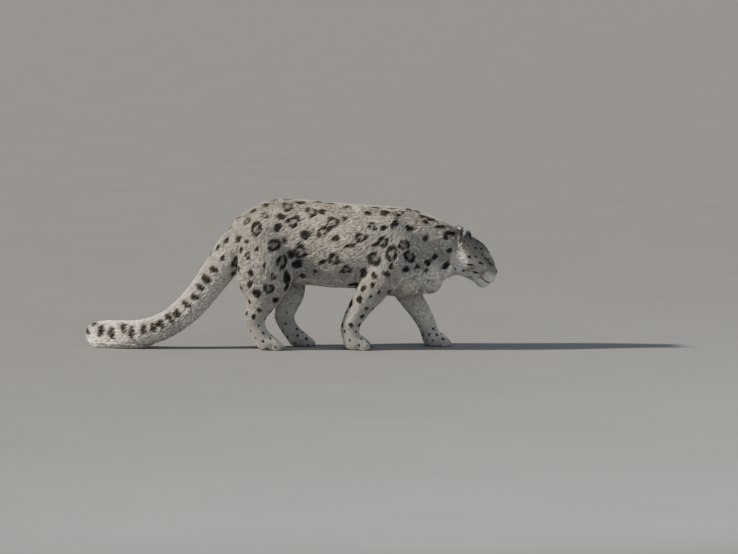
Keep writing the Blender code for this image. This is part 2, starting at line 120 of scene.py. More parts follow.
def placesOf(mesh):
    return readAll(mesh.vertices, "co", 3).astype(float)


def setPlaces(mesh, places):
    mesh.vertices.foreach_set("co", places.astype(np.float32).ravel())
    mesh.update()


def normalsOf(mesh):
    return readAll(mesh.vertex_normals, "vector", 3).astype(float)


def cornersOf(mesh):
    return readAll(mesh.loops, "vertex_index", 1, np.int32)


def paintTones(mesh, tones):
    paint = mesh.color_attributes.new("tone", "FLOAT_COLOR", "POINT")
    whole = np.ones((len(mesh.vertices), 4), np.float32)
    whole[:, :3] = tones
    paint.data.foreach_set("color", whole.ravel())


def turnOutwards(piece):
    takeUp(piece)
    bpy.ops.object.mode_set(mode="EDIT")
    bpy.ops.mesh.select_all(action="SELECT")
    bpy.ops.mesh.normals_make_consistent(inside=False)
    bpy.ops.object.mode_set(mode="OBJECT")


def spread(values, edges, rounds, share=0.5):
    # evens out values over the mesh, each vertex with its neighbours
    wide = values.reshape(len(values), -1).astype(float)
    ends = np.concatenate([edges[:, 0], edges[:, 1]])
    others = np.concatenate([edges[:, 1], edges[:, 0]])
    count = np.maximum(np.bincount(ends, minlength=len(wide)), 1)[:, None]
    share = np.broadcast_to(np.asarray(share, float).reshape(-1, 1), (len(wide), 1))
    for _ in range(rounds):
        near = np.stack([np.bincount(ends, wide[others, k], len(wide)) for k in range(wide.shape[1])], 1)
        wide = wide * (1 - share) + near / count * share
    return wide.reshape(values.shape)


def giveInputs(node, values):
    for socket, value in values.items():
        node.inputs[socket].default_value = value


def newMaterial(name, values):
    # a material's node tree and its shader, with these values on the shader's sockets
    material = bpy.data.materials.new(name)
    material.use_nodes = True
    shader = material.node_tree.nodes["Principled BSDF"]
    giveInputs(shader, values)
    return material, material.node_tree, shader


def newNode(tree, kind, values=None, operation=None):
    node = tree.nodes.new("ShaderNode" + kind)
    if operation:
        node.operation = operation
    giveInputs(node, values or {})
    return node


def wire(tree, *ways):
    for source, output, target, place in ways:
        tree.links.new(source.outputs[output], target.inputs[place])


# The head's own frame, as the solids have it: X to the nose, Y left, Z to the crown
headPlan = {"middle": (0.7441, 0.0123, 0.381), "pitch": 24, "yaw": 12, "size": 1.05}
headMatrix = (Matrix.Translation(headPlan["middle"]) @ Matrix.Rotation(math.radians(headPlan["yaw"]), 4, "Z")
              @ Matrix.Rotation(math.radians(headPlan["pitch"]), 4, "Y") @ Matrix.Scale(headPlan["size"], 4))
headTurn = np.array(headMatrix.to_3x3().normalized())
headBack = np.array(headMatrix.inverted())


def inHead(points):
    return points @ headBack[:3, :3].T + headBack[:3, 3]


def fromHead(points):
    matrix = np.array(headMatrix)
    return np.asarray(points) @ matrix[:3, :3].T + matrix[:3, 3]


def headWay(vector):
    return headTurn @ np.asarray(vector, float)


# Camera, floor and lights
stagePlan = {
    "target": (0.328, 0.0, 0.298),
    "distance": 17.2,
    "elevation": 4.6,
    "lens": 200,
    "sensor": 36,
    "floorSize": 240,
    "floorColours": [(0.215, 0.218, 0.222), (0.245, 0.246, 0.248)],
    "sunWay": (-0.88, -0.08, 0.47),      # where the sun stands
    "sunPower": 6.2, "sunSize": 2.5,     # its width in degrees
    "fillPlace": (0.9, -5.2, 2.4), "fillSize": 4.2, "fillPower": 62,
    "sidePlace": (4.2, -2.0, 2.0), "sideSize": 3.0, "sidePower": 35,
    "skyStrength": 0.31,
}


def aimedAt(place, target):
    return (Vector(target) - Vector(place)).to_track_quat("-Z", "Y").to_euler()


def setCamera():
    rise = math.radians(stagePlan["elevation"])
    target = Vector(stagePlan["target"])
    place = target + Vector((0, -math.cos(rise), math.sin(rise))) * stagePlan["distance"]
    bpy.ops.object.camera_add(location=place, rotation=aimedAt(place, target))
    camera = bpy.context.object
    camera.data.lens = stagePlan["lens"]
    camera.data.sensor_width = stagePlan["sensor"]
    camera.data.clip_end = 400
    bpy.context.scene.camera = camera


def addLamp(name, colour):
    place = stagePlan[name + "Place"]
    bpy.ops.object.light_add(type="AREA", location=place, rotation=aimedAt(place, (0.2, 0, 0.3)))
    lamp = bpy.context.object
    lamp.name = name + "Lamp"
    lamp.data.size = stagePlan[name + "Size"]
    lamp.data.energy = stagePlan[name + "Power"]
    lamp.data.color = colour


def addSun():
    bpy.ops.object.light_add(type="SUN", rotation=aimedAt(stagePlan["sunWay"], (0, 0, 0)))
    sun = bpy.context.object
    sun.name = "sunLamp"
    sun.data.energy = stagePlan["sunPower"]
    sun.data.angle = math.radians(stagePlan["sunSize"])
    sun.data.color = (1.0, 0.90, 0.74)


def makeFloor():
    deselectAll()
    bpy.ops.mesh.primitive_plane_add(size=stagePlan["floorSize"])
    floor = bpy.context.object
    floor.name = "studioFloor"
    material, tree, shader = newMaterial("studioPaper", {"Roughness": 0.85})
    place = newNode(tree, "TexCoord")
    grain = newNode(tree, "TexNoise", {"Scale": 1.3})
    colours = newNode(tree, "ValToRGB")
    for stop, colour in zip(colours.color_ramp.elements, stagePlan["floorColours"]):
        stop.color = (*colour, 1)
    wire(tree, (place, "Object", grain, "Vector"), (grain, "Fac", colours, "Fac"),
         (colours, "Color", shader, "Base Color"))
    floor.data.materials.append(material)


def setSky():
    world = bpy.data.worlds.new("studioSky")
    bpy.context.scene.world = world
    world.use_nodes = True
    back = world.node_tree.nodes["Background"]
    back.inputs["Color"].default_value = (0.80, 0.89, 1.0, 1)
    back.inputs["Strength"].default_value = stagePlan["skyStrength"]
    bpy.context.scene.view_settings.look = "AgX - Medium High Contrast"


setCamera()
makeFloor()
setSky()
addSun()
addLamp("fill", (0.95, 0.97, 1.0))
addLamp("side", (0.97, 0.98, 1.0))
report("stage set")

# What grows where. Depth is how far the skin lies under the outline, long and wide are one tuft's,
# all in millimetres; dense is tufts for each square centimetre; lie is the way the hair runs;
# gap and mark are the spacing and half width of the dark marks, and ring the share that are rosettes
coatColumns = ("depth", "long", "wide", "dense", "lie", "gap", "mark", "ring")
coatTable = {
    "barrel": (15, 34, 2.9, 12.5, (-1, 0, -0.30), 56, 22, 0.8),
    "chest": (15, 32, 2.8, 14, (-0.95, 0, -0.45), 50, 19, 0.6),
    "rump": (15, 33, 2.8, 14, (-0.95, 0, -0.45), 50, 19, 0.6),
    "neck": (14, 33, 2.7, 15, (-0.8, 0, -0.55), 40, 12, 0.0),
    "head": (6, 12, 1.6, 17, (-1, 0, 0), 21, 5, 0.0),
    "muzzle": (2, 6, 0.62, 110, (-1, 0, 0), 90, 2, 0.0),
    "jaw": (3, 8, 0.75, 95, (-1, 0, 0), 90, 2, 0.0),
    "ear_left": (1.6, 10, 0.9, 70, (0, 0, 1), 90, 2, 0.0),
    "ear_right": (1.6, 10, 0.9, 70, (0, 0, 1), 90, 2, 0.0),
    "tail_root": (18, 34, 2.9, 13, (-0.6, 0, -0.8), 44, 16, 0.4),
    "tail_upper": (20, 38, 3.0, 14, (-0.68, 0, -0.73), 400, 17, 0.0),
    "tail_lower": (21, 40, 3.1, 14, (-0.86, 0, -0.5), 400, 18, 0.0),
    "tail_tip": (21, 38, 3.0, 15, (-1, 0.1, 0), 400, 18, 0.0),
    "fore_right_shoulder": (12, 28, 2.6, 11, (-0.5, 0, -0.87), 42, 14, 0.3),
    "fore_left_shoulder": (12, 28, 2.6, 11, (-0.3, 0, -0.95), 42, 14, 0.3),
    "hind_right_thigh": (13, 30, 2.7, 9.2, (-0.4, 0, -0.9), 44, 15, 0.3),
    "hind_left_thigh": (13, 30, 2.7, 9.2, (-0.2, 0, -0.95), 44, 15, 0.3),
    "fore_right_forearm": (7, 19, 1.9, 14, (-0.4, 0, -0.9), 32, 10, 0.0),
    "fore_left_forearm": (7, 19, 1.9, 14, (0.35, 0, -0.9), 32, 10, 0.0),
    "hind_right_shank": (8, 21, 2.0, 13, (-0.25, 0, -0.95), 34, 10, 0.0),
    "hind_left_shank": (8, 21, 2.0, 13, (-0.2, 0, -0.95), 34, 10, 0.0),
    "fore_right_paw": (4, 11, 1.3, 22, (0.75, 0, -0.6), 26, 6, 0.0),
    "fore_left_paw": (4, 11, 1.3, 22, (0.75, 0, -0.6), 26, 6, 0.0),
    "hind_right_foot": (4, 12, 1.3, 21, (0.7, 0, -0.7), 27, 6, 0.0),
    "hind_left_foot": (4, 12, 1.3, 21, (0.7, 0, -0.7), 27, 6, 0.0),
}
rowOf = {name: k for k, name in enumerate(fleshNodes)}


def tableColumn(key):
    return np.array([coatTable[name][coatColumns.index(key)] for name in fleshNodes], float)


# The skin: copies of the flesh solids, swollen a little so that they fuse, then drawn in by the coat's depth
skinPlan = {
    "swell": 0.0007,
    "voxel": 0.0030,
    "triangles": 186000,
    "headMiddle": (0.03, 0, 0), "headReach": 0.150,    # kept fine, in the head's frame
    "faceFrom": 0.040, "faceHalf": 0.12,               # ahead of this the mesh is finer still
    "depthRounds": 45,
    "soleHeight": 0.008, "floorGap": 0.0004,
    "napeDepth": 0.010, "faceDepth": 0.0022, "faceRamp": (-0.01, 0.075),     # of the coat on the head
    "pawHeight": 0.052, "pawsFrom": -0.22,             # the mesh stays fine below and ahead of this
}


def gatherFlesh():
    deselectAll()
    for name in fleshNodes + ["eye_left", "eye_right"]:      # the eyes only to close their sockets
        frame["nodes"][name].select_set(True)
    bpy.context.view_layer.objects.active = frame["nodes"]["barrel"]
    bpy.ops.object.duplicate()
    bpy.ops.object.parent_clear(type="CLEAR_KEEP_TRANSFORM")
    bpy.ops.object.join()
    body = bpy.context.object
    body.name = "skin"
    for key in list(body.keys()):
        del body[key]
    bpy.ops.object.mode_set(mode="EDIT")
    bpy.ops.mesh.select_all(action="SELECT")
    bpy.ops.mesh.remove_doubles(threshold=0.00004)
    bpy.ops.object.mode_set(mode="OBJECT")
    swell = body.modifiers.new("swell", "DISPLACE")
    swell.strength = skinPlan["swell"]
    swell.mid_level = 0
    fuse = body.modifiers.new("fuse", "REMESH")
    fuse.mode = "VOXEL"
    fuse.voxel_size = skinPlan["voxel"]
    ease = body.modifiers.new("ease", "SMOOTH")
    ease.factor = 0.5
    ease.iterations = 5
    for modifier in (swell, fuse, ease):
        bpy.ops.object.modifier_apply(modifier=modifier.name)
    body.data.materials.clear()
    return body


def pickFaces(mesh, picked):
    mesh.vertices.foreach_set("select", np.zeros(len(mesh.vertices), bool))
    mesh.edges.foreach_set("select", np.zeros(len(mesh.edges), bool))
    mesh.polygons.foreach_set("select", picked)
    bpy.context.tool_settings.mesh_select_mode = (False, False, True)


def facesWithin(mesh, chosen):
    # chosen is one value for each vertex; a face is taken when all its corners are
    starts = readAll(mesh.polygons, "loop_start", 1, np.int32)
    return np.minimum.reduceat(chosen[cornersOf(mesh)].astype(np.int8), starts).astype(bool)


def refineFace(body):
    takeUp(body)
    spots = inHead(placesOf(body.data))
    onFace = (spots[:, 0] > skinPlan["faceFrom"]) & (np.abs(spots[:, 2]) < skinPlan["faceHalf"])
    pickFaces(body.data, facesWithin(body.data, onFace))
    bpy.ops.object.mode_set(mode="EDIT")
    bpy.ops.mesh.subdivide(number_cuts=1)
    bpy.ops.object.mode_set(mode="OBJECT")


def thinBody(body):
    takeUp(body)
    found = placesOf(body.data)
    away = np.linalg.norm(inHead(found) - skinPlan["headMiddle"], axis=1)
    onPaw = (found[:, 2] < skinPlan["pawHeight"]) & (found[:, 0] > skinPlan["pawsFrom"])
    picked = facesWithin(body.data, (away > skinPlan["headReach"] / headPlan["size"]) & ~onPaw)
    pickFaces(body.data, picked)
    triangles = readAll(body.data.polygons, "loop_total", 1, np.int32) - 2
    coarse, fine = int(triangles[picked].sum()), int(triangles[~picked].sum())
    bpy.ops.object.mode_set(mode="EDIT")
    bpy.ops.mesh.decimate(ratio=(skinPlan["triangles"] - fine) / coarse)
    bpy.ops.mesh.select_all(action="SELECT")
    bpy.ops.mesh.quads_convert_to_tris()
    bpy.ops.object.mode_set(mode="OBJECT")
    return fine


def ownedBy(*names):
    return np.isin(owner, [rowOf[name] for name in names])


def nearestNodes(places):
    points = []
    faces = []
    owners = []
    for name in fleshNodes:
        mesh = frame["nodes"][name].data
        base = len(points)
        points += [vertex.co.copy() for vertex in mesh.vertices]
        for face in mesh.polygons:
            faces.append([base + k for k in face.vertices])
            owners.append(rowOf[name])
    tree = BVHTree.FromPolygons(points, faces)
    return np.array(owners)[[tree.find_nearest(place)[2] for place in places.tolist()]]


skin = gatherFlesh()
report(f"flesh fused, {len(skin.data.polygons)} faces")
refineFace(skin)
fine = thinBody(skin)
report(f"skin has {len(skin.data.polygons)} triangles, {fine} of them on the head")

# The face, in the head's frame and in metres. Everything with a side is mirrored
facePlan = {
    "eyeRadius": 0.0134,
    "eyePlace": (0.0680, 0.0365, 0.0165),
    "eyeSunk": 0.0024,                   # how far behind the solid's eye this one sits
    "eyeAxis": (0.86, 0.46, 0.10),       # which way the lids open
    "gaze": (0.95, 0.30, 0.03),          # which way the eye looks
    "lidUp": 31,                         # how far the open lids reach from that line, in degrees
    "lidDown": 28,
    "lidIn": 59,
    "lidOut": 52,
    "lidTilt": 17,                       # the outer corner stands this much higher
    "lidDark": 24,                       # width of the dark skin and hair round the opening, in degrees
    "lidThick": 0.0014,
    "lidSoft": 0.0030,
    "mouthFront": (0.136, -0.0540),
    "mouthPeak": 0.0065, "mouthPeakWide": 0.009,
    "mouthMiddle": (0.104, -0.0610),
    "mouthCorner": (0.062, -0.0500),
    "mouthDeep": 0.0036, "mouthWide": 0.0024, "lipBare": 0.0019,
    "lipAt": 0.0055, "lipWide": 0.0040, "lipHigh": 0.0014,     # the swelling over the line
    "lipDark": 0.0034,
    "philtrumDeep": 0.0026, "philtrumWide": 0.0016, "philtrumFrom": (0.110, 0.120),
    "darkReach": 1.3,                    # no bare or dark skin past this many eye radii
}


def eyeFrame(side, axis="eyeAxis"):
    # columns: sideways to the outer corner, up, and out; all in the world
    out = unit(headWay(facePlan[axis] * np.array((1, side, 1))))
    up = headWay((0, 0, 1))
    up = unit(up - out * (up @ out))
    across = np.cross(up, out) * side
    across = across if across @ headWay((0, side, 0)) > 0 else -across
    tilt = math.radians(facePlan["lidTilt"])
    across, up = across * math.cos(tilt) + up * math.sin(tilt), up * math.cos(tilt) - across * math.sin(tilt)
    return np.stack([across, up, out], 1)


def eyeMiddle(side):
    x, y, z = facePlan["eyePlace"]
    return fromHead((x, side * y, z)) - eyeFrame(side)[:, 2] * facePlan["eyeSunk"]


def lidHeight(share, upper):
    # how far the lid's edge stands from the middle line, in degrees, at a share from -1 inside to 1 outside
    reach = facePlan["lidUp"] if upper else facePlan["lidDown"]
    lean = -0.22 if upper else 0.12
    bow = np.clip(1 - np.abs(share) ** 2.2, 0, 1) ** 0.9
    return reach * bow * (1 + lean * share)


def lidAngles(points, side):
    # each point as seen from the eye's middle: degrees across, degrees up, and its distance
    local = (points - eyeMiddle(side)) @ eyeFrame(side)
    distance = np.linalg.norm(local, axis=1)
    across = np.degrees(np.arctan2(local[:, 0], local[:, 2]))
    up = np.degrees(np.arcsin(np.clip(local[:, 1] / np.maximum(distance, 1e-6), -1, 1)))
    return across, up, distance


def openLids(across, up):
    # above 0 inside the opening, in degrees from its edge
    share = np.where(across > 0, across / facePlan["lidOut"], across / facePlan["lidIn"])
    edge = np.where(up > 0, lidHeight(share, True), lidHeight(share, False))
    return np.where(np.abs(share) < 1, edge - np.abs(up), -np.abs(up) - 40 * (np.abs(share) - 1))


def shapeSockets(places):
    radius = facePlan["eyeRadius"]
    lid = radius + facePlan["lidThick"]
    soft = facePlan["lidSoft"]
    for side in (1, -1):
        near = np.linalg.norm(places - eyeMiddle(side), axis=1) < 2.3 * radius
        points = places[near]
        across, up, distance = lidAngles(points, side)
        off = np.degrees(np.arccos(np.clip(np.cos(np.radians(across)) * np.cos(np.radians(up)), -1, 1)))
        inside = openLids(across, up)
        shell = lid * (1 - 0.30 * ramp(58, 112, off))
        gap = np.clip(np.abs(distance - shell) / soft, 0, 1)
        raised = np.maximum(distance, shell) + soft * 0.25 * (1 - gap) ** 2
        raised = np.where(off < 115, raised, distance)
        hold = ramp(66, 42, off)
        shaped = raised * (1 - hold) + lid * hold
        shaped = np.where(inside > 0, radius * (0.80 + 0.2 * ramp(5, 0, inside)), shaped)
        places[near] += (shaped - distance)[:, None] * unit(points - eyeMiddle(side))
    return places


# Rounded rises and hollows under the coat of the face: middle, reach, height
faceForms = [
    ((0.064, 0.0370, 0.0400), 0.020, 0.0034),    # brow
    ((0.050, 0.0520, 0.0060), 0.022, 0.0030),    # cheek bone
    ((0.086, 0.0240, 0.0020), 0.014, 0.0016),    # beside the bridge
    ((0.110, 0.0230, -0.0370), 0.018, 0.0042),   # whisker pad
    ((0.092, 0.0000, 0.0140), 0.018, 0.0016),    # bridge of the nose
    ((0.078, 0.0400, -0.0300), 0.010, -0.0016),  # fold behind the pad
    ((0.040, 0.0000, 0.0840), 0.016, -0.0014),   # furrow of the forehead
]


def shapeForms(places, normals):
    spots = inHead(places)
    spots[:, 1] = np.abs(spots[:, 1])
    for middle, reach, height in faceForms:
        away = np.linalg.norm(spots - middle, axis=1) / reach
        places = places + normals * (height * np.exp(-2 * away ** 2))[:, None]
    return places


# Toes, in metres from each paw's middle; the paws point along X
pawPlan = {
    "middles": [(-0.094, -0.090), (0.034, 0.090), (0.272, -0.086), (0.604, 0.086)],
    "clefts": [-0.0225, 0.0, 0.0225],
    "cleftWide": 0.0034, "cleftDeep": 0.0062,
    "toeRise": 0.0016,
    "toesFrom": (0.008, 0.034), "toesBelow": (0.070, 0.045),
    "halfLong": 0.09, "halfWide": 0.06,
}


def earFrame(places, name):
    # columns: across the ear's sheet, up to its tip, and out of its opening
    mine = places[owner == rowOf[name]]
    middle = mine.mean(0)
    ways = np.linalg.svd(mine - middle, full_matrices=False)[2]
    out = ways[2] * np.sign(ways[2] @ headWay((1, 0, 0)))
    up = headWay((0, 0, 1))
    up = unit(up - out * (up @ out))
    return middle, np.stack([np.cross(up, out), up, out], 1)


def earAcross(local, mine):
    # place across the sheet, from -1 to 1 at each height
    up = local[:, 1]
    end = earPlan["slabEnd"]
    heights = np.linspace(up[mine].min() + end, up[mine].max() - end, earPlan["slabs"])
    slabs = [local[mine & (np.abs(up - height) < earPlan["slabHalf"]), 0] for height in heights]
    low = np.interp(local[:, 1], heights, [slab.min() for slab in slabs])
    high = np.interp(local[:, 1], heights, [slab.max() for slab in slabs])
    return np.clip((2 * local[:, 0] - low - high) / (high - low), -1.2, 1.2)


# Heights from the ear's middle, and places across it from -1 to 1
earPlan = {
    "cup": 0.0085, "cupFrom": (-0.040, -0.010),
    "hollow": 0.0034, "hollowWide": 0.55, "hollowTall": 0.020, "hollowDown": 0.006,
    "slabs": 12, "slabHalf": 0.004, "slabEnd": 0.003,
    "patchWide": 0.42, "patchTall": 0.013, "patchUp": 0.002,     # the pale patch behind
    "rimAcross": (0.74, 0.94), "rimFrom": (-0.030, -0.018),
    "openingShadeAcross": (0.14, 0.34), "openingShadeBelow": (0.018, 0.006),     # painted shade of the ear's opening, low down on each side
}


def shapeEars(places, normals):
    for name in earNames:
        mine = owner == rowOf[name]
        middle, turn = earFrame(places, name)
        local = (places - middle) @ turn
        near = spread(mine.astype(float), edges, 6)
        across = np.abs(earAcross(local, mine))
        rise = earPlan["cup"] * (across ** 2 - 0.35) * ramp(*earPlan["cupFrom"], local[:, 1])
        facing = ramp(0.1, 0.6, normals @ turn[:, 2])
        hollow = facing * np.exp(-(across / earPlan["hollowWide"]) ** 2
                                 - ((local[:, 1] + earPlan["hollowDown"]) / earPlan["hollowTall"]) ** 2)
        places = places + ((rise - hollow * earPlan["hollow"]) * near)[:, None] * turn[:, 2]
    return places


def shapeToes(places, normals):
    for x, y in pawPlan["middles"]:
        along = places[:, 0] - x
        ahead = ramp(*pawPlan["toesFrom"], along) * (np.abs(along) < pawPlan["halfLong"])
        ahead *= ramp(*pawPlan["toesBelow"], places[:, 2]) * ramp(-0.75, -0.35, normals[:, 2])
        off = places[:, 1] - y
        ahead = ahead * (np.abs(off) < pawPlan["halfWide"])
        for cleft in pawPlan["clefts"]:
            deep = np.exp(-((off - cleft) / pawPlan["cleftWide"]) ** 2) * ahead * pawPlan["cleftDeep"]
            places = places - normals * deep[:, None]
        places = places + normals * (ahead * pawPlan["toeRise"])[:, None]
    return places


def mouthOff(spots):
    # height over the mouth's line, which runs through three chosen points and rises under the nose
    front, middle, corner = facePlan["mouthFront"], facePlan["mouthMiddle"], facePlan["mouthCorner"]
    bend = np.polyfit([front[0], middle[0], corner[0]], [front[1], middle[1], corner[1]], 2)
    peak = facePlan["mouthPeak"] * np.exp(-np.abs(spots[:, 1]) / facePlan["mouthPeakWide"])
    return spots[:, 2] - np.polyval(bend, spots[:, 0]) - peak


def mouthAlong(spots):
    return ramp(facePlan["mouthCorner"][0] - 0.004, facePlan["mouthCorner"][0] + 0.010, spots[:, 0])


def philtrum(spots):
    across = np.exp(-(spots[:, 1] / facePlan["philtrumWide"]) ** 2)
    return across * ramp(*facePlan["philtrumFrom"], spots[:, 0])


def shapeMouth(places, normals):
    spots = inHead(places)
    off = mouthOff(spots)
    along = mouthAlong(spots)
    groove = np.exp(-(off / facePlan["mouthWide"]) ** 2) * along * facePlan["mouthDeep"]
    lip = np.exp(-((off - facePlan["lipAt"]) / facePlan["lipWide"]) ** 2) * along * facePlan["lipHigh"]
    middle = philtrum(spots)
    middle *= ramp(-0.001, 0.003, off) * ramp(-0.010, -0.018, spots[:, 2])
    return places - normals * (groove - lip + middle * facePlan["philtrumDeep"])[:, None]


earNames = ("ear_left", "ear_right")
headNames = ("head", "muzzle", "jaw")
edges = readAll(skin.data.edges, "vertices", 2, np.int32)
places = placesOf(skin.data)
owner = nearestNodes(places)
spots = inHead(places)
onHead = ownedBy(*headNames, *earNames)
onEar = ownedBy(*earNames)
report("nodes found for each place of the skin")

# drop the solids' facets, least on ears and face
places = spread(places, edges, 10, np.where(onEar, 0.12, np.where(onHead, 0.45, 0.5)))
setPlaces(skin.data, places)
normals = unit(spread(normalsOf(skin.data), edges, 6))
depth = tableColumn("depth")[owner] / 1000
faceward = ramp(*skinPlan["faceRamp"], spots[:, 0])
headDepth = skinPlan["napeDepth"] * (1 - faceward) + skinPlan["faceDepth"] * faceward
depth = np.where(owner == rowOf["head"], headDepth, depth)
depth = spread(depth, edges, skinPlan["depthRounds"])
flatSole = (places[:, 2] < skinPlan["soleHeight"]) & (normals[:, 2] < -0.6)
depth = np.where(flatSole, skinPlan["floorGap"], depth)
depth = spread(depth, edges, 3)
places = places - normals * depth[:, None]
places[:, 2] = np.maximum(places[:, 2], skinPlan["floorGap"])
places = spread(places, edges, 2, np.where(onHead, 0.2, 0.5))
setPlaces(skin.data, places)
normals = normalsOf(skin.data)
places = shapeEars(places, unit(spread(normals, edges, 4)))
places = shapeForms(places, unit(spread(normals, edges, 8)))
places = shapeMouth(places, unit(spread(normals, edges, 8)))
places = shapeSockets(places)
places = shapeToes(places, unit(spread(normals, edges, 4)))
setPlaces(skin.data, places)
skin.data.shade_smooth()
normals = normalsOf(skin.data)
report("skin drawn in and face shaped")

# Which way the hair lies, how long it is and what colour the ground of the coat is, at each place of the skin
furPlan = {
    "lieRounds": 40,
    "longRounds": 30,
    "toneRounds": 14,
    "bellyLonger": 12,      # millimetres
    "ruffLonger": 14,
    "earInnerLonger": 6,
}
toneTable = {
    "back": (0.300, 0.283, 0.258),
    "flank": (0.455, 0.436, 0.402),
    "pale": (0.760, 0.738, 0.690),
    "white": (0.900, 0.885, 0.850),
    "cheek": (0.330, 0.275, 0.185),
    "mark": (0.020, 0.018, 0.017),
    "markEdge": (0.085, 0.075, 0.066),
    "rosetteFill": (0.245, 0.222, 0.192),
    "face": (0.420, 0.395, 0.355),
    "lip": (0.030, 0.024, 0.022),
}


# Light patches over and under the eye: middle, reach and share; and the brownish band of the cheek
whitePatches = [
    ((0.070, 0.036, 0.040), (0.016, 0.012, 0.008), 0.75),
    ((0.062, 0.046, -0.012), (0.024, 0.016, 0.010), 0.85),
]
cheekBand = {"middle": (0.015, -0.040), "steep": 50.56, "long": 0.032, "wide": 0.012, "share": 0.85}


def bodyLie(places, normals):
    lie = tableColumn("lie")[owner]
    sides = np.abs(normals[:, 1])
    trunk = ownedBy("barrel", "chest", "rump", "neck")
    lie[trunk, 2] *= (0.25 + 0.9 * sides[trunk])
    head = ownedBy(*headNames)
    fromNose = spots - (0.150, 0, -0.018)
    fromNose[:, 1] *= 1.3
    low = ramp(-0.005, -0.060, spots[:, 2]) * ramp(0.085, 0.03, spots[:, 0])
    fromNose[:, 2] -= 0.05 * low
    lie[head] = unit(fromNose[head]) @ headTurn.T
    for name in earNames:
        mine = owner == rowOf[name]
        middle, turn = earFrame(places, name)
        inward = -earAcross((places - middle) @ turn, mine) * ramp(0.1, 0.5, normals @ turn[:, 2])
        lie[mine] = (turn[:, 1] + turn[:, 0] * 0.75 * inward[:, None])[mine]
    return lie


def settleLie(lie):
    lie = unit(spread(unit(lie), edges, furPlan["lieRounds"], np.where(onHead, 0.25, 0.5)))
    lie = unit(lie - normals * (lie * normals).sum(1, keepdims=True))
    return unit(spread(lie, edges, 4))


def hairLength(places, normals):
    long = tableColumn("long")[owner]
    head = owner == rowOf["head"]
    behind = ramp(0.075, -0.055, spots[:, 0])
    crown = ramp(0.02, 0.07, spots[:, 2])
    ruff = ramp(0.030, -0.045, spots[:, 0]) * ramp(0.012, -0.030, spots[:, 2])
    onHeadLong = 5.0 + 10 * behind * (1 - 0.3 * crown) + furPlan["ruffLonger"] * ruff
    long = np.where(head, onHeadLong, long)
    trunk = ownedBy("barrel", "rump")
    long = long + trunk * furPlan["bellyLonger"] * ramp(-0.35, -0.9, normals[:, 2])
    throat = ownedBy("neck", "chest")
    long = long + throat * 8 * ramp(-0.1, -0.8, normals[:, 2]) * ramp(0.40, 0.55, places[:, 0])
    for name in earNames:
        inside = ramp(0.2, 0.6, normals @ earFrame(places, name)[1][:, 2]) * (owner == rowOf[name])
        long = long + furPlan["earInnerLonger"] * inside
    return spread(long, edges, furPlan["longRounds"], np.where(onEar, 0.1, np.where(onHead, 0.3, 0.5))) / 1000


def paleShare(places, normals):
    pale = np.zeros(len(places))
    height = places[:, 2]
    for name in fleshNodes:
        mine = owner == rowOf[name]
        if name in ("barrel", "rump"):
            share = np.maximum(ramp(0.325, 0.255, height), ramp(-0.35, -0.8, normals[:, 2]))
        elif name == "chest":
            share = np.maximum(ramp(0.375, 0.30, height), ramp(-0.3, -0.8, normals[:, 2]))
        elif name == "neck":
            share = ramp(0.405, 0.335, height + 0.12 * (0.62 - places[:, 0]))
        elif name.startswith("tail"):
            share = 0.30 + 0.70 * ramp(0.35, -0.25, normals[:, 2])
            share = share if name == "tail_root" else np.maximum(share, 0.55)
        elif name.endswith(("paw", "foot")):
            share = np.full(len(places), 0.55)
        elif "_" in name and name.split("_")[0] in ("fore", "hind"):
            side = 1 if "left" in name else -1
            share = 0.22 + 0.75 * ramp(0.25, -0.65, normals[:, 1] * side) + 0.25 * ramp(0.35, 0.12, height)
        else:
            continue
        pale[mine] = np.clip(share, 0, 1)[mine]
    return pale


def groundTones(places, normals):
    trunk = ownedBy("barrel", "chest", "rump", "neck", "tail_root")
    top = ramp(0.30, 0.95, normals[:, 2] + 0.25 * (places[:, 2] - 0.5)) * trunk
    tones = mix(toneTable["flank"], toneTable["back"], top)
    tones = mix(tones, toneTable["pale"], paleShare(places, normals))
    head = ownedBy(*headNames)
    x, y, z = spots[:, 0], np.abs(spots[:, 1]), spots[:, 2]
    face = mix(toneTable["face"], toneTable["back"], 0.55 * ramp(0.03, 0.075, z) * ramp(0.10, 0.04, x))
    white = np.maximum.reduce([
        ramp(-0.012, -0.036, z) * ramp(0.070, 0.095, x),                      # muzzle
        ramp(-0.040, -0.062, z),                                              # chin and throat
        0.70 * ramp(0.055, 0.078, y) * ramp(0.035, -0.02, z),                 # cheek ruff
    ] + [share * np.exp(-(((np.stack([x, y, z], 1) - middle) / reach) ** 2).sum(1))
         for middle, reach, share in whitePatches])
    face = mix(face, toneTable["white"], np.clip(white, 0, 1))
    steep = math.radians(cheekBand["steep"])
    x, z = x - cheekBand["middle"][0], z - cheekBand["middle"][1]
    along = math.cos(steep) * x + math.sin(steep) * z
    aside = math.cos(steep) * z - math.sin(steep) * x
    band = np.exp(-(along / cheekBand["long"]) ** 2 - (aside / cheekBand["wide"]) ** 2) * ramp(0.03, 0.05, y)
    face = mix(face, toneTable["cheek"], cheekBand["share"] * band)
    for side in (1, -1):
        across, up, distance = lidAngles(places, side)
        dark = ramp(-facePlan["lidDark"], -2, openLids(across, up)) * (distance < 1.5 * facePlan["eyeRadius"])
        face = mix(face, toneTable["mark"], 0.9 * dark)
    tones = np.where(head[:, None], face, tones)
    return spread(tones, edges, furPlan["toneRounds"], np.where(onEar, 0.1, np.where(onHead, 0.25, 0.5)))


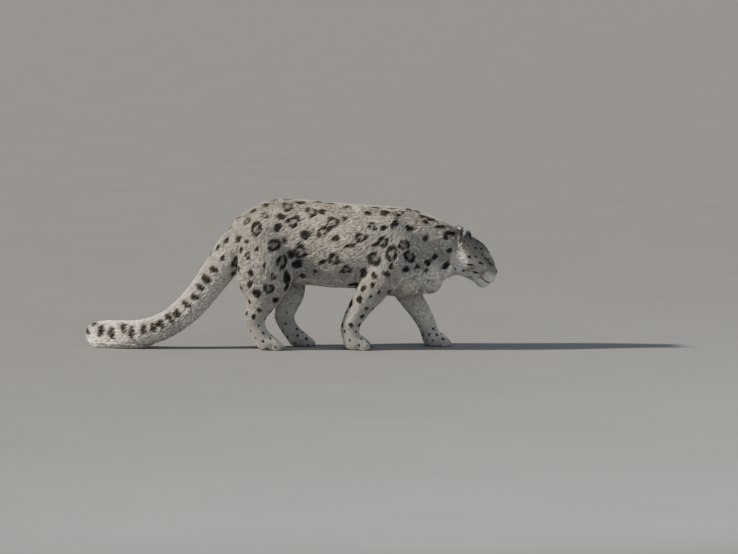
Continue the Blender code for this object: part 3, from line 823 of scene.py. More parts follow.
def earTones(tones, normals):
    # behind, black with a pale middle; before, pale with dark edges, and painted shade low in the opening on
    # each side
    for name in earNames:
        mine = owner == rowOf[name]
        middle, turn = earFrame(places, name)
        local = (places - middle) @ turn
        across = earAcross(local, mine)[mine]
        local = local[mine]
        facing = normals[mine] @ turn[:, 2]
        behind = ramp(0.05, -0.30, facing)
        up = local[:, 1]
        patchRise = (up - earPlan["patchUp"]) / earPlan["patchTall"]
        patchOff = (across / earPlan["patchWide"]) ** 2 + patchRise ** 2
        patch = np.exp(-patchOff ** 1.5)
        back = mix(toneTable["mark"], toneTable["pale"], np.clip(1.2 * patch, 0, 1))
        rim = np.maximum(ramp(*earPlan["rimAcross"], np.abs(across)), ramp(0.55, 0.25, facing))
        rim *= ramp(*earPlan["rimFrom"], up)
        # painted shade: the front goes dark low in the ear's opening, on each side of its middle
        sides = ramp(*earPlan["openingShadeAcross"], np.abs(across)) * ramp(*earPlan["openingShadeBelow"], up)
        front = mix(toneTable["white"], toneTable["mark"], np.clip(0.95 * rim + 0.80 * sides, 0, 1))
        tones[mine] = mix(front, back, behind)
    return tones


lie = settleLie(bodyLie(places, normals))
hairLong = hairLength(places, normals)
ground = earTones(groundTones(places, normals), normals)
report("lie, length and ground tones of the coat")

# The dark marks. Those on the near side follow the photo: X, height and half width, in metres
marksPlan = {
    "rosettes": [
        (0.42, 0.405, 0.028), (0.49, 0.390, 0.026), (0.345, 0.380, 0.027), (0.39, 0.455, 0.021),
        (0.475, 0.440, 0.022), (0.555, 0.535, 0.021), (0.335, 0.520, 0.022), (0.255, 0.515, 0.027),
        (0.18, 0.525, 0.027), (0.175, 0.450, 0.025), (0.185, 0.385, 0.024), (0.085, 0.380, 0.021),
        (0.045, 0.415, 0.027), (-0.035, 0.365, 0.026), (-0.075, 0.440, 0.027), (-0.14, 0.500, 0.026),
        (-0.09, 0.260, 0.021), (0.015, 0.530, 0.026), (0.07, 0.500, 0.027), (0.13, 0.495, 0.023),
        (0.08, 0.565, 0.025),
    ],
    "spots": [
        (0.42, 0.355, 0.013), (0.405, 0.320, 0.016), (0.35, 0.315, 0.015), (0.305, 0.320, 0.020),
        (0.525, 0.350, 0.011), (0.48, 0.340, 0.016), (0.57, 0.365, 0.015), (0.565, 0.335, 0.009),
        (0.53, 0.575, 0.017), (0.49, 0.585, 0.018), (0.435, 0.525, 0.017), (0.49, 0.510, 0.017),
        (0.39, 0.570, 0.021), (0.315, 0.470, 0.018), (0.03, 0.360, 0.021), (0.005, 0.405, 0.018),
        (-0.025, 0.460, 0.013), (-0.015, 0.305, 0.023), (0.05, 0.310, 0.015), (0.10, 0.330, 0.011),
        (0.165, 0.325, 0.013), (-0.085, 0.310, 0.019), (-0.02, 0.260, 0.015), (-0.14, 0.300, 0.017),
        (-0.165, 0.275, 0.015), (-0.14, 0.240, 0.018), (-0.06, 0.210, 0.015), (0.13, 0.565, 0.017),
        (-0.035, 0.555, 0.019), (-0.055, 0.510, 0.018), (0.23, 0.585, 0.013), (0.225, 0.545, 0.013),
        (0.265, 0.275, 0.021), (0.305, 0.260, 0.015), (0.34, 0.275, 0.012), (0.285, 0.215, 0.018),
        (0.25, 0.195, 0.020), (0.22, 0.165, 0.011), (0.645, 0.465, 0.014), (0.66, 0.415, 0.012),
        (0.60, 0.390, 0.014), (0.145, 0.445, 0.020),
    ],
    "dashes": [
        (0.36, 0.445, 0.020), (0.245, 0.435, 0.022), (0.13, 0.375, 0.019), (-0.105, 0.350, 0.014),
        (0.59, 0.535, 0.020), (0.625, 0.510, 0.022), (0.665, 0.485, 0.024), (0.65, 0.353, 0.024),
    ],
    "tailFrom": -0.315, "tailTo": -0.800, "tailStep": 0.045,
    "tailSlab": 0.008, "tailReach": 0.05, "tailWide": (0.0145, 0.0175),
    "tailEnd": [(-0.828, 0.014, 3.4), (-0.852, 0.017, 2.0)],       # bands over the top: X, half width, length
    "tries": 9000,
}
# Marks of the face, in the head's frame and mirrored: place, half width, how long for its width, and its way
faceMarks = [
    ((0.040, 0.062, -0.004), 0.0050, 2.6, (-1, 0.2, -0.10)),
    ((0.035, 0.070, -0.046), 0.0052, 3.2, (-1, 0.2, -0.10)),
    ((0.000, 0.086, -0.028), 0.0050, 3.0, (-1, 0.1, -0.30)),
    ((-0.017, 0.088, -0.002), 0.0065, 1.4, (-1, 0, -0.4)),
    ((0.057, 0.040, 0.043), 0.0052, 1.7, (-0.6, 0.3, 0.7)),
    ((0.050, 0.018, 0.062), 0.0046, 1.5, (-1, 0.1, 0.2)),
    ((0.085, 0.0245, 0.006), 0.0042, 2.6, (0.8, -0.3, -0.6)),
    ((0.054, 0.0500, 0.020), 0.0042, 2.2, (-1, 0.4, 0.25)),
    ((0.030, 0.026, 0.074), 0.0050, 1.5, (-1, 0.1, 0)),
    ((0.008, 0.014, 0.080), 0.0052, 1.6, (-1, 0.1, 0)),
    ((0.004, 0.040, 0.074), 0.0052, 1.6, (-1, 0.1, 0)),
    ((-0.022, 0.020, 0.082), 0.0058, 1.7, (-1, 0.1, 0)),
    ((0.026, 0.052, 0.052), 0.0050, 1.5, (-1, 0.2, 0)),
    ((-0.002, 0.066, 0.048), 0.0052, 1.5, (-1, 0.2, 0)),
    ((0.012, 0.078, 0.014), 0.0048, 1.6, (-1, 0.2, 0)),
    ((0.064, 0.052, -0.060), 0.0040, 2.0, (-1, 0.2, 0)),
]
whiskerPlan = {
    "rows": 4, "inRow": 4,
    "first": (0.119, -0.0235), "rowStep": (-0.0035, -0.0078), "dotStep": -0.0098,
    "dot": 0.0017,
    "out": 0.036, "outStep": 0.004, "drop": -0.001,
}
whiskerRoots = []
marks = []
skinPlaces = KDTree(len(places))
for index, place in enumerate(places.tolist()):
    skinPlaces.insert(place, index)
skinPlaces.balance()


def addMark(middle, radius, ring, stretch, heading, normal, strength):
    heading = unit(heading - normal * (heading @ normal))
    marks.append(dict(middle=middle, radius=radius, ring=ring, stretch=stretch, heading=heading,
                      across=np.cross(normal, heading), normal=normal, strength=strength,
                      turns=rng.uniform(0, 2 * math.pi, 6)))


def markAt(k, radius, ring, stretch, strength=1.0, turn=14):
    angle = math.radians(rng.normal(0, turn))
    heading = lie[k] * math.cos(angle) + np.cross(normals[k], lie[k]) * math.sin(angle)
    addMark(places[k], radius, ring, stretch, heading, normals[k], strength)


def nearSidePlace(x, z):
    # the place of the skin that the camera sees at this X and height
    off = np.hypot(places[:, 0] - x, places[:, 2] - z)
    close = np.flatnonzero(off < max(0.005, off.min() + 0.002))
    return close[np.argmin(places[close, 1])]


def nearSideMarks():
    for x, z, radius in marksPlan["rosettes"]:
        markAt(nearSidePlace(x, z), radius, True, rng.uniform(0.95, 1.15))
    for x, z, radius in marksPlan["spots"]:
        markAt(nearSidePlace(x, z), radius, False, rng.uniform(0.9, 1.3))
    for x, z, radius in marksPlan["dashes"]:
        markAt(nearSidePlace(x, z), radius * 0.5, False, 2.3)


def tailMarks():
    # blotches set across the tail in two rows, which meet over the top as bands near its end
    onTail = np.flatnonzero(np.char.startswith(np.array(fleshNodes)[owner], "tail"))
    x = marksPlan["tailFrom"]
    while x > marksPlan["tailTo"]:
        slab = onTail[np.abs(places[onTail, 0] - x) < marksPlan["tailSlab"]]
        middle = places[slab].mean(0)
        way = unit(lie[slab].mean(0))
        across = unit(np.cross((0, 0, 1), way))
        top = np.cross(way, across)
        close = ramp(-0.50, -0.80, x)
        for side in (-1, 1):
            rise = math.radians(17 + 10 * close + rng.normal(0, 5))
            want = middle + marksPlan["tailReach"] * (across * side * math.cos(rise) + top * math.sin(rise))
            k = slab[np.argmin(np.linalg.norm(places[slab] - want, axis=1))]
            wide = rng.uniform(*marksPlan["tailWide"])
            stretch = rng.uniform(1.4, 1.85) + 0.6 * close
            addMark(places[k], wide, False, stretch, np.cross(normals[k], way), normals[k], 1.0)
        x += marksPlan["tailStep"] * way[0] * rng.uniform(0.88, 1.12)
    for x, wide, stretch in marksPlan["tailEnd"]:
        slab = onTail[np.abs(places[onTail, 0] - x) < marksPlan["tailSlab"]]
        k = slab[np.argmax(places[slab, 2])]
        addMark(places[k], wide, False, stretch, np.cross(normals[k], lie[k]), normals[k], 1.0)


def fillMarks():
    # scattered marks wherever the given ones leave room
    gap = tableColumn("gap")[owner] / 1000
    size = tableColumn("mark")[owner] / 1000
    ring = tableColumn("ring")[owner]
    taken = [mark["middle"] for mark in marks]
    room = [mark["radius"] * max(1, mark["stretch"]) for mark in marks]
    for k in rng.choice(len(places), marksPlan["tries"], replace=False):
        name = fleshNodes[owner[k]]
        if name in ("muzzle", "jaw", "ear_left", "ear_right", "tail_upper", "tail_lower", "tail_tip"):
            continue
        if name == "head" and spots[k, 0] > 0.045:
            continue
        top = name in ("barrel", "chest", "rump") and normals[k, 2] > 0.9
        radius = size[k] * rng.uniform(0.75, 1.15) * (0.7 if top else 1)
        space = np.linalg.norm(np.array(taken) - places[k], axis=1) - np.array(room)
        if space.min() < gap[k] - size[k] * 1.05:
            continue
        pale = paleField[k]
        strength = 1 - 0.75 * ramp(0.45, 0.95, pale) * (name not in ("neck", "head"))
        if name in ("neck", "head") and pale > 0.6:
            continue
        markAt(k, radius * (1 - 0.35 * ramp(0.5, 1, pale)), rng.random() < ring[k] and not top,
               rng.uniform(0.9, 1.3) + (0.6 if top else 0), strength)
        taken.append(places[k])
        room.append(radius)


def faceSpots():
    for side in (1, -1):
        for (x, y, z), radius, stretch, way in faceMarks:
            wander = rng.normal(0, 0.0012, 3)
            k = skinPlaces.find(fromHead(np.array((x, side * y, z)) + wander))[1]
            heading = headWay((way[0], side * way[1], way[2]))
            addMark(places[k], radius, False, stretch, heading, normals[k], 0.92)
        for row in range(whiskerPlan["rows"]):
            for dot in range(whiskerPlan["inRow"]):
                x = whiskerPlan["first"][0] + row * whiskerPlan["rowStep"][0] + dot * whiskerPlan["dotStep"]
                y = whiskerPlan["out"] + whiskerPlan["outStep"] * dot
                z = whiskerPlan["first"][1] + row * whiskerPlan["rowStep"][1] + whiskerPlan["drop"] * dot
                k = skinPlaces.find(fromHead((x, side * y, z)))[1]
                whiskerRoots.append((side, row, dot, k))
                addMark(places[k], whiskerPlan["dot"], False, 1.0, lie[k], normals[k], 0.8)


def paintMarks(points):
    # how dark each point is, and how far it is inside a rosette
    dark = np.zeros(len(points))
    fill = np.zeros(len(points))
    order = np.argsort(points[:, 0])
    across = points[order, 0]
    for mark in marks:
        reach = mark["radius"] * 1.35 * max(1, mark["stretch"])
        first, last = np.searchsorted(across, [mark["middle"][0] - reach, mark["middle"][0] + reach])
        near = order[first:last]
        off = points[near] - mark["middle"]
        kept = (np.abs(off) < reach).all(1)
        near, off = near[kept], off[kept]
        a = off @ mark["heading"] / mark["stretch"]
        b = off @ mark["across"]
        angle = np.arctan2(b, a)
        turns = mark["turns"]
        wave = (1 + 0.13 * np.sin(2 * angle + turns[0]) + 0.09 * np.sin(3 * angle + turns[1])
                + 0.05 * np.sin(5 * angle + turns[2]))
        share = np.hypot(a, b) / (mark["radius"] * wave)
        if mark["ring"]:
            thick = 0.34 * (1 + 0.35 * np.sin(3 * angle + turns[3]))
            body = ramp(1.0, 0.55, np.abs(share - 0.74) / thick)
            broken = (0.7 * np.sin(2 * angle + turns[4]) + 0.6 * np.sin(3 * angle + turns[5])
                      + 0.3 * np.sin(5 * angle))
            body *= ramp(-1.15, -0.75, broken)
            fill[near] = np.maximum(fill[near], ramp(0.95, 0.65, share) * mark["strength"])
        else:
            body = ramp(1.02, 0.72, share)
        dark[near] = np.maximum(dark[near], body * mark["strength"])
    return dark, fill


def colourAt(points, tones):
    dark, fill = paintMarks(points)
    shade = 1 + 0.05 * sway(points, 0.11, 5) + 0.035 * sway(points, 0.035, 6)
    colours = tones * shade[:, None]
    colours = mix(colours, np.minimum(colours, toneTable["rosetteFill"]), 0.55 * fill)
    return mix(mix(colours, toneTable["markEdge"], np.clip(dark * 2.2, 0, 1) * 0.75), toneTable["mark"],
               ramp(0.25, 0.95, dark))


paleField = spread(paleShare(places, normals), edges, 10)
nearSideMarks()
faceSpots()
tailMarks()
fillMarks()
report(f"{len(marks)} marks laid out")

# The coat: thin solid tufts, each rising from the skin and bending to lie at the outline
coatPieces = {
    "coatFace": (["muzzle", "jaw"], "coat_pale"),
    "coatHead": (["head"], "coat_back"),
    "coatEars": (["ear_left", "ear_right"], "coat_back"),
    "coatNeck": (["neck"], "coat_back"),
    "coatChest": (["chest"], "coat_back"),
    "coatBarrel": (["barrel"], "coat_back"),
    "coatRump": (["rump", "tail_root"], "coat_back"),
    "coatForeRight": (["fore_right_shoulder", "fore_right_forearm", "fore_right_paw"], "coat_back"),
    "coatForeLeft": (["fore_left_shoulder", "fore_left_forearm", "fore_left_paw"], "coat_back"),
    "coatHindRight": (["hind_right_thigh", "hind_right_shank", "hind_right_foot"], "coat_back"),
    "coatHindLeft": (["hind_left_thigh", "hind_left_shank", "hind_left_foot"], "coat_back"),
    "coatTail": (["tail_upper", "tail_lower"], "coat_back"),
    "coatTailTip": (["tail_tip"], "coat_pale"),
}
tuftPlan = {
    "most": 33000,           # in one piece
    "headWide": 0.0007, "headLong": 0.005, "headWidening": 0.050,    # longer hair of the head is wider
    "napeDense": 24, "faceDense": 70,
    "noseGap": 0.0015,       # nothing grows this close to the nose leather
    "middleAt": 0.42,        # of a tuft's length
    "middleRise": 0.80,
    "rootDeep": 0.0012,
    "cell": 0.012,           # roots are sorted by cells of this size
    "longRange": (0.72, 1.18), "wideRange": (0.70, 1.25), "riseRange": (0.50, 1.02),     # shares of the given
    "leastRise": 0.0006, "lowest": 0.0007, "soleBare": 0.0025,
    "thick": 0.24, "under": 0.4,         # of the width, and of the thickness
    "rootTone": 0.75, "tipTone": 1.04, "toneSpread": 0.085, "warmthSpread": 0.02,
    "turn": 8,               # degrees, one tuft against the next
    "clump": 13, "clumpReach": 0.042,
    "patch": 0.003,          # on the OFBake map
    "margin": 0.004, "mapEdge": 0.0005,
    "grain": 900,
}
# one tuft: its root, a ring of three and its tip
tuftFaces = (0, 2, 1, 0, 3, 2, 0, 1, 3, 4, 1, 2, 4, 2, 3, 4, 3, 1)
patchPlaces = np.array([(0, -0.5), (-0.5, 0), (0.5, 0), (0, 0.10), (0, 0.5)])
dense = spread(tableColumn("dense")[owner], edges, 12, np.where(onHead, 0.2, 0.5))
wide = spread(tableColumn("wide")[owner], edges, 16, np.where(onHead, 0.2, 0.5)) / 1000
headOnly = owner == rowOf["head"]
longer = np.maximum(hairLong - tuftPlan["headLong"], 0)
wide = np.where(headOnly, tuftPlan["headWide"] + tuftPlan["headWidening"] * longer, wide)
dense = np.where(headOnly, tuftPlan["napeDense"] * (1 - faceward) + tuftPlan["faceDense"] * faceward, dense)


def triangleCorners(mesh):
    return cornersOf(mesh).reshape(-1, 3)


def openMap(mesh):
    # the OFBake map of a mesh in hand, stretched to fill its square
    bpy.ops.object.mode_set(mode="EDIT")
    bpy.ops.mesh.select_all(action="SELECT")
    bpy.ops.uv.smart_project(angle_limit=math.radians(66), island_margin=tuftPlan["margin"])
    bpy.ops.object.mode_set(mode="OBJECT")
    layer = mesh.uv_layers.active
    layer.name = "OFBake"
    flat = readAll(layer.uv, "vector", 2)
    low, high = flat.min(0), flat.max(0)
    filled = tuftPlan["margin"] + (1 - 2 * tuftPlan["margin"]) * (flat - low) / (high - low)
    layer.uv.foreach_set("vector", filled.astype(np.float32).ravel())
    return filled


def coatGround(nodeNames):
    # a copy of the skin under one coat piece, with its own map
    takeUp(skin)
    bpy.ops.object.duplicate()
    base = bpy.context.object
    triangles = triangleCorners(base.data)
    pickFaces(base.data, ~ownedBy(*nodeNames)[triangles[:, 0]])
    bpy.ops.object.mode_set(mode="EDIT")
    bpy.ops.mesh.delete(type="FACE")
    bpy.ops.object.mode_set(mode="OBJECT")
    flat = openMap(base.data)
    index = readAll(base.data.attributes["skinPlace"].data, "value", 1, np.int32)
    triangles = index[triangleCorners(base.data)]
    bpy.data.objects.remove(base)
    return triangles, flat.reshape(-1, 3, 2)


def scatterRoots(triangles, flat):
    # roots at even steps of the wanted number, along the triangles sorted by place
    points = places[triangles]
    size = 0.5 * np.linalg.norm(np.cross(points[:, 1] - points[:, 0], points[:, 2] - points[:, 0]), axis=1)
    middle = points.mean(1)
    cells = np.floor(middle / tuftPlan["cell"]).astype(int)
    order = np.lexsort((middle[:, 1], cells[:, 2], cells[:, 0]))
    weight = (size * dense[triangles].mean(1) * 1e4)[order]
    total = weight.sum()
    count = int(min(total, tuftPlan["most"]))
    steps = (np.arange(count) + rng.random(count)) / count * total
    chosen = order[np.minimum(np.searchsorted(np.cumsum(weight), steps), len(order) - 1)]
    first, second = rng.random((2, count))
    over = first + second > 1
    first, second = np.where(over, 1 - first, first), np.where(over, 1 - second, second)
    share = np.stack([1 - first - second, first, second], 1)[:, :, None]
    index = triangles[chosen]
    roots = {
        "place": (places[index] * share).sum(1),
        "normal": unit((normals[index] * share).sum(1)),
        "lie": unit((lie[index] * share).sum(1)),
        "long": (hairLong[index] * share[:, :, 0]).sum(1),
        "wide": (wide[index] * share[:, :, 0]).sum(1),
        "depth": (depth[index] * share[:, :, 0]).sum(1),
        "tone": (ground[index] * share).sum(1),
        "map": (flat[chosen] * share).sum(1),
    }
    return roots, total


def onSkin(points, lift):
    # the nearest places of the skin, lifted off it
    found = [skinTree.find_nearest(point) for point in points.tolist()]
    near = np.array([hit[0] for hit in found])
    way = np.array([hit[1] for hit in found])
    return near + way * lift[:, None], way


def isBare(points):
    # True where nothing grows: the open eyes, the nose leather and the mouth's line
    bare = np.zeros(len(points), bool)
    head = np.linalg.norm(points - headPlan["middle"], axis=1) < 0.2
    for side in (1, -1):
        across, up, distance = lidAngles(points[head], side)
        bare[head] |= (openLids(across, up) > -5) & (distance < facePlan["darkReach"] * facePlan["eyeRadius"])
    local = inHead(points[head])
    lips = np.abs(mouthOff(local)) < facePlan["lipBare"] * (0.55 + 0.45 * ramp(0.12, 0.09, local[:, 0]))
    bare[head] |= lips & (local[:, 0] > facePlan["mouthCorner"][0] + 0.002)
    low, high = (np.array(corner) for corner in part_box("nose"))
    inside = ((points > low - tuftPlan["noseGap"]) & (points < high + tuftPlan["noseGap"])).all(1)
    return bare | inside


def buildTufts(name, roots):
    count = len(roots["place"])
    normal, way = roots["normal"], roots["lie"]
    angle = np.radians(rng.normal(0, tuftPlan["turn"], count)
                       + tuftPlan["clump"] * sway(roots["place"], tuftPlan["clumpReach"], 8))
    side = np.cross(normal, way)
    way = way * np.cos(angle)[:, None] + side * np.sin(angle)[:, None]
    side = np.cross(normal, way)
    long = roots["long"] * rng.uniform(*tuftPlan["longRange"], count)
    wide = roots["wide"] * rng.uniform(*tuftPlan["wideRange"], count)
    rise = np.maximum(roots["depth"] * rng.uniform(*tuftPlan["riseRange"], count), tuftPlan["leastRise"])
    middle, over = onSkin(roots["place"] + way * (long * tuftPlan["middleAt"])[:, None],
                          rise * tuftPlan["middleRise"])
    tip, _ = onSkin(middle + way * (long * (1 - tuftPlan["middleAt"]))[:, None], rise)
    start = roots["place"] - normal * tuftPlan["rootDeep"]
    half = side * (wide * 0.5)[:, None]
    thin = over * (wide * tuftPlan["thick"])[:, None]
    under = middle - thin * tuftPlan["under"]
    vertices = np.stack([start, under + half, under - half, middle + thin, tip], 1)
    vertices[:, :, 2] = np.maximum(vertices[:, :, 2], tuftPlan["lowest"])
    kept = ~(isBare(tip) | isBare(middle) | (roots["place"][:, 2] < tuftPlan["soleBare"]))
    atMiddle = colourAt(0.8 * middle + 0.2 * tip, roots["tone"])
    atTip = colourAt(0.15 * middle + 0.85 * tip, roots["tone"])
    tones = np.stack([atMiddle * tuftPlan["rootTone"]] + [atMiddle] * 3 + [atTip * tuftPlan["tipTone"]], 1)
    tones *= np.exp(rng.normal(0, tuftPlan["toneSpread"], count))[:, None, None]
    tones *= 1 + rng.normal(0, tuftPlan["warmthSpread"], (count, 1, 1)) * np.array((1.0, 0.0, -1.0))
    patches = roots["map"][:, None, :] + patchPlaces[None] * tuftPlan["patch"]
    patches = np.clip(patches, tuftPlan["mapEdge"], 1 - tuftPlan["mapEdge"])
    return meshFromTufts(name, vertices[kept], np.clip(tones, 0, 0.95)[kept], patches[kept])


def meshFromTufts(name, vertices, tones, patches):
    count, size = vertices.shape[:2]
    index = (np.arange(count)[:, None] * size + np.array(tuftFaces)).ravel().astype(np.int32)
    mesh = bpy.data.meshes.new(name)
    mesh.vertices.add(count * size)
    mesh.vertices.foreach_set("co", vertices.astype(np.float32).ravel())
    mesh.loops.add(len(index))
    mesh.loops.foreach_set("vertex_index", index)
    mesh.polygons.add(len(index) // 3)
    mesh.polygons.foreach_set("loop_start", np.arange(0, len(index), 3, dtype=np.int32))
    mesh.update(calc_edges=True)
    mesh.shade_smooth()
    layer = mesh.uv_layers.new(name="OFBake")
    layer.uv.foreach_set("vector", patches.reshape(-1, 2)[index].astype(np.float32).ravel())
    paintTones(mesh, tones.reshape(-1, 3))
    piece = bpy.data.objects.new(name, mesh)
    bpy.context.scene.collection.objects.link(piece)
    return piece


def growCoat(name, nodeNames):
    triangles, flat = coatGround(nodeNames)
    roots, total = scatterRoots(triangles, flat)
    piece = buildTufts(name, roots)
    piece.data.materials.append(coatMaterial)
    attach(piece, "root")
    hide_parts(*nodeNames)
    report(f"{name}: {len(piece.data.polygons) // 6} tufts, {total:.0f} wanted")


def furGrainGroup():
    # strand-like variation of a tone, and a height for its bump
    group = bpy.data.node_groups.new("furGrain", "ShaderNodeTree")
    sockets = [
        ("Vector", "INPUT", "Vector"), ("Tone", "INPUT", "Color"), ("Scale", "INPUT", "Float"),
        ("Amount", "INPUT", "Float"), ("Colour", "OUTPUT", "Color"), ("Height", "OUTPUT", "Float"),
    ]
    for name, way, kind in sockets:
        group.interface.new_socket(name, in_out=way, socket_type="NodeSocket" + kind)
    given = group.nodes.new("NodeGroupInput")
    put = group.nodes.new("NodeGroupOutput")
    grain = newNode(group, "TexNoise", {"Detail": 3, "Roughness": 0.65})
    centred = newNode(group, "MapRange", {"From Min": 0.3, "From Max": 0.7, "To Min": -1, "To Max": 1})
    amount = newNode(group, "Math", {2: 1}, "MULTIPLY_ADD")
    shaded = newNode(group, "VectorMath", operation="SCALE")
    wire(group, (given, "Vector", grain, "Vector"), (given, "Scale", grain, "Scale"),
         (grain, "Fac", centred, "Value"), (centred, "Result", amount, 0), (given, "Amount", amount, 1),
         (given, "Tone", shaded, 0), (amount, "Value", shaded, "Scale"), (shaded, "Vector", put, "Colour"),
         (grain, "Fac", put, "Height"))
    return group


def furMaterial(name, grainScale, grainAmount, bumpStrength, roughness, sheen):
    material, tree, shader = newMaterial(name, {
        "Roughness": roughness, "Specular IOR Level": 0.32, "Sheen Weight": sheen, "Sheen Roughness": 0.45,
    })
    place = newNode(tree, "TexCoord")
    tone = newNode(tree, "Attribute")
    tone.attribute_name = "tone"
    grain = tree.nodes.new("ShaderNodeGroup")
    grain.node_tree = furGrain
    giveInputs(grain, {"Scale": grainScale, "Amount": grainAmount})
    bump = newNode(tree, "Bump", {"Strength": bumpStrength, "Distance": 0.0006})
    wire(tree, (place, "Object", grain, "Vector"), (tone, "Color", grain, "Tone"),
         (grain, "Colour", shader, "Base Color"), (grain, "Height", bump, "Height"),
         (bump, "Normal", shader, "Normal"))
    return material


furGrain = furGrainGroup()
coatMaterial = furMaterial("snowCoat", tuftPlan["grain"], 0.16, 0.25, 0.62, 0.25)
skinMaterial = furMaterial("underCoat", 420, 0.22, 0.6, 0.80, 0.10)

mark = skin.data.attributes.new("skinPlace", "INT", "POINT")
mark.data.foreach_set("value", np.arange(len(places), dtype=np.int32))
skinTree = BVHTree.FromPolygons(places.tolist(), triangleCorners(skin.data).tolist())
for name, (nodeNames, slotName) in coatPieces.items():
    growCoat(name, nodeNames)
skin.data.attributes.remove(skin.data.attributes["skinPlace"])


def finishSkin():
    takeUp(skin)
    openMap(skin.data)
    # painted shade: the skin between the tufts gets 0.80 of the coat's ground tone, so the gaps between the
    # tufts read dark
    tones = colourAt(places, ground * 0.80)
    local = inHead(places)
    lips = np.exp(-(mouthOff(local) / facePlan["lipDark"]) ** 4) * mouthAlong(local) * onHead
    cleft = philtrum(local) * ramp(-0.002, 0.002, mouthOff(local)) * onHead * (local[:, 2] < 0)
    lips = np.maximum(lips, 0.8 * cleft)
    tones = mix(tones, toneTable["lip"], np.clip(1.3 * lips, 0, 1))
    for side in (1, -1):
        across, up, distance = lidAngles(places, side)
        rim = ramp(-17, -9, openLids(across, up)) * (distance < facePlan["darkReach"] * facePlan["eyeRadius"])
        tones = mix(tones, toneTable["lip"], rim)
    paintTones(skin.data, tones)
    skin.data.materials.append(skinMaterial)
    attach(skin, "root")
    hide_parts(*fleshNodes)
    report("skin coloured")


finishSkin()

# Eyes: pale grey-green, with a round pupil under a clear bulge
eyePlan = {
    "segments": 48, "rings": 40,
    "bulge": 0.07, "bulgeReach": 34,     # a share of the radius, and degrees from the line of sight
    "rimSteps": 72, "rimSides": 10, "torusTube": 0.25,
    "rimTube": 0.0011, "rimAt": 1.055,   # half width of the lids' dark edge, and its place in eye radii
    "pupil": 19, "iris": 46,             # degrees
    "discSize": 0.98,                    # of the irisDisc map's square
}


def eyeMaterial():
    material, tree, shader = newMaterial("eyeGlass", {
        "Roughness": 0.22, "Coat Weight": 1.0, "Coat Roughness": 0.03,
    })
    place = newNode(tree, "UVMap")
    place.uv_map = "irisDisc"
    centred = newNode(tree, "VectorMath", {1: (0.5, 0.5, 0)}, "SUBTRACT")
    away = newNode(tree, "VectorMath", operation="LENGTH")
    colours = newNode(tree, "ValToRGB")
    stops = colours.color_ramp.elements
    pupil = eyePlan["pupil"] / 180
    iris = eyePlan["iris"] / 180
    steps = [
        (pupil - 0.006, (0.003, 0.003, 0.003)), (pupil + 0.006, (0.170, 0.160, 0.095)),
        (pupil + 0.030, (0.330, 0.345, 0.240)), (iris - 0.045, (0.240, 0.280, 0.215)),
        (iris - 0.010, (0.060, 0.060, 0.045)), (iris + 0.015, (0.020, 0.015, 0.013)),
    ]
    stops[0].position = steps[0][0]
    stops[1].position = steps[-1][0]
    for position, _ in steps[1:-1]:
        stops.new(position)
    for stop, (_, colour) in zip(stops, steps):
        stop.color = (*colour, 1)
    spoke = newNode(tree, "VectorMath", operation="NORMALIZE")
    fibres = newNode(tree, "TexNoise", {"Scale": 11, "Detail": 4})
    shade = newNode(tree, "MapRange", {"From Min": 0.3, "From Max": 0.7, "To Min": 0.62, "To Max": 1.25})
    blend = newNode(tree, "VectorMath", operation="SCALE")
    wire(tree, (place, "UV", centred, 0), (centred, "Vector", away, 0), (away, "Value", colours, "Fac"),
         (centred, "Vector", spoke, 0), (spoke, "Vector", fibres, "Vector"), (fibres, "Fac", shade, "Value"),
         (colours, "Color", blend, 0), (shade, "Result", blend, "Scale"),
         (blend, "Vector", shader, "Base Color"))
    return material


def makeEye(side, name, nodeName):
    deselectAll()
    bpy.ops.mesh.primitive_uv_sphere_add(segments=eyePlan["segments"], ring_count=eyePlan["rings"], radius=1)
    eye = bpy.context.object
    eye.name = name
    local = placesOf(eye.data)
    off = np.degrees(np.arccos(np.clip(local[:, 2], -1, 1)))
    spoke = local[:, :2] / np.maximum(np.hypot(local[:, 0], local[:, 1]), 1e-6)[:, None]
    disc = 0.5 + 0.5 * spoke * (off / 90)[:, None] * eyePlan["discSize"]
    layer = eye.data.uv_layers.active
    layer.name = "irisDisc"
    layer.uv.foreach_set("vector", disc[cornersOf(eye.data)].astype(np.float32).ravel())
    turn = eyeFrame(side, "gaze")
    local[:, 0] *= np.sign(np.linalg.det(turn))
    reach = facePlan["eyeRadius"] * (1 + eyePlan["bulge"] * np.exp(-(off / eyePlan["bulgeReach"]) ** 2))
    setPlaces(eye.data, eyeMiddle(side) + (local * reach[:, None]) @ turn.T)
    eye.data.shade_smooth()
    eye.data.materials.append(eyeGlass)
    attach(eye, "root")
    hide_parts(nodeName)


def lidWay(across, up):
    across, up = np.radians(across), np.radians(up)
    return np.stack([np.sin(across) * np.cos(up), np.sin(up), np.cos(across) * np.cos(up)], -1)


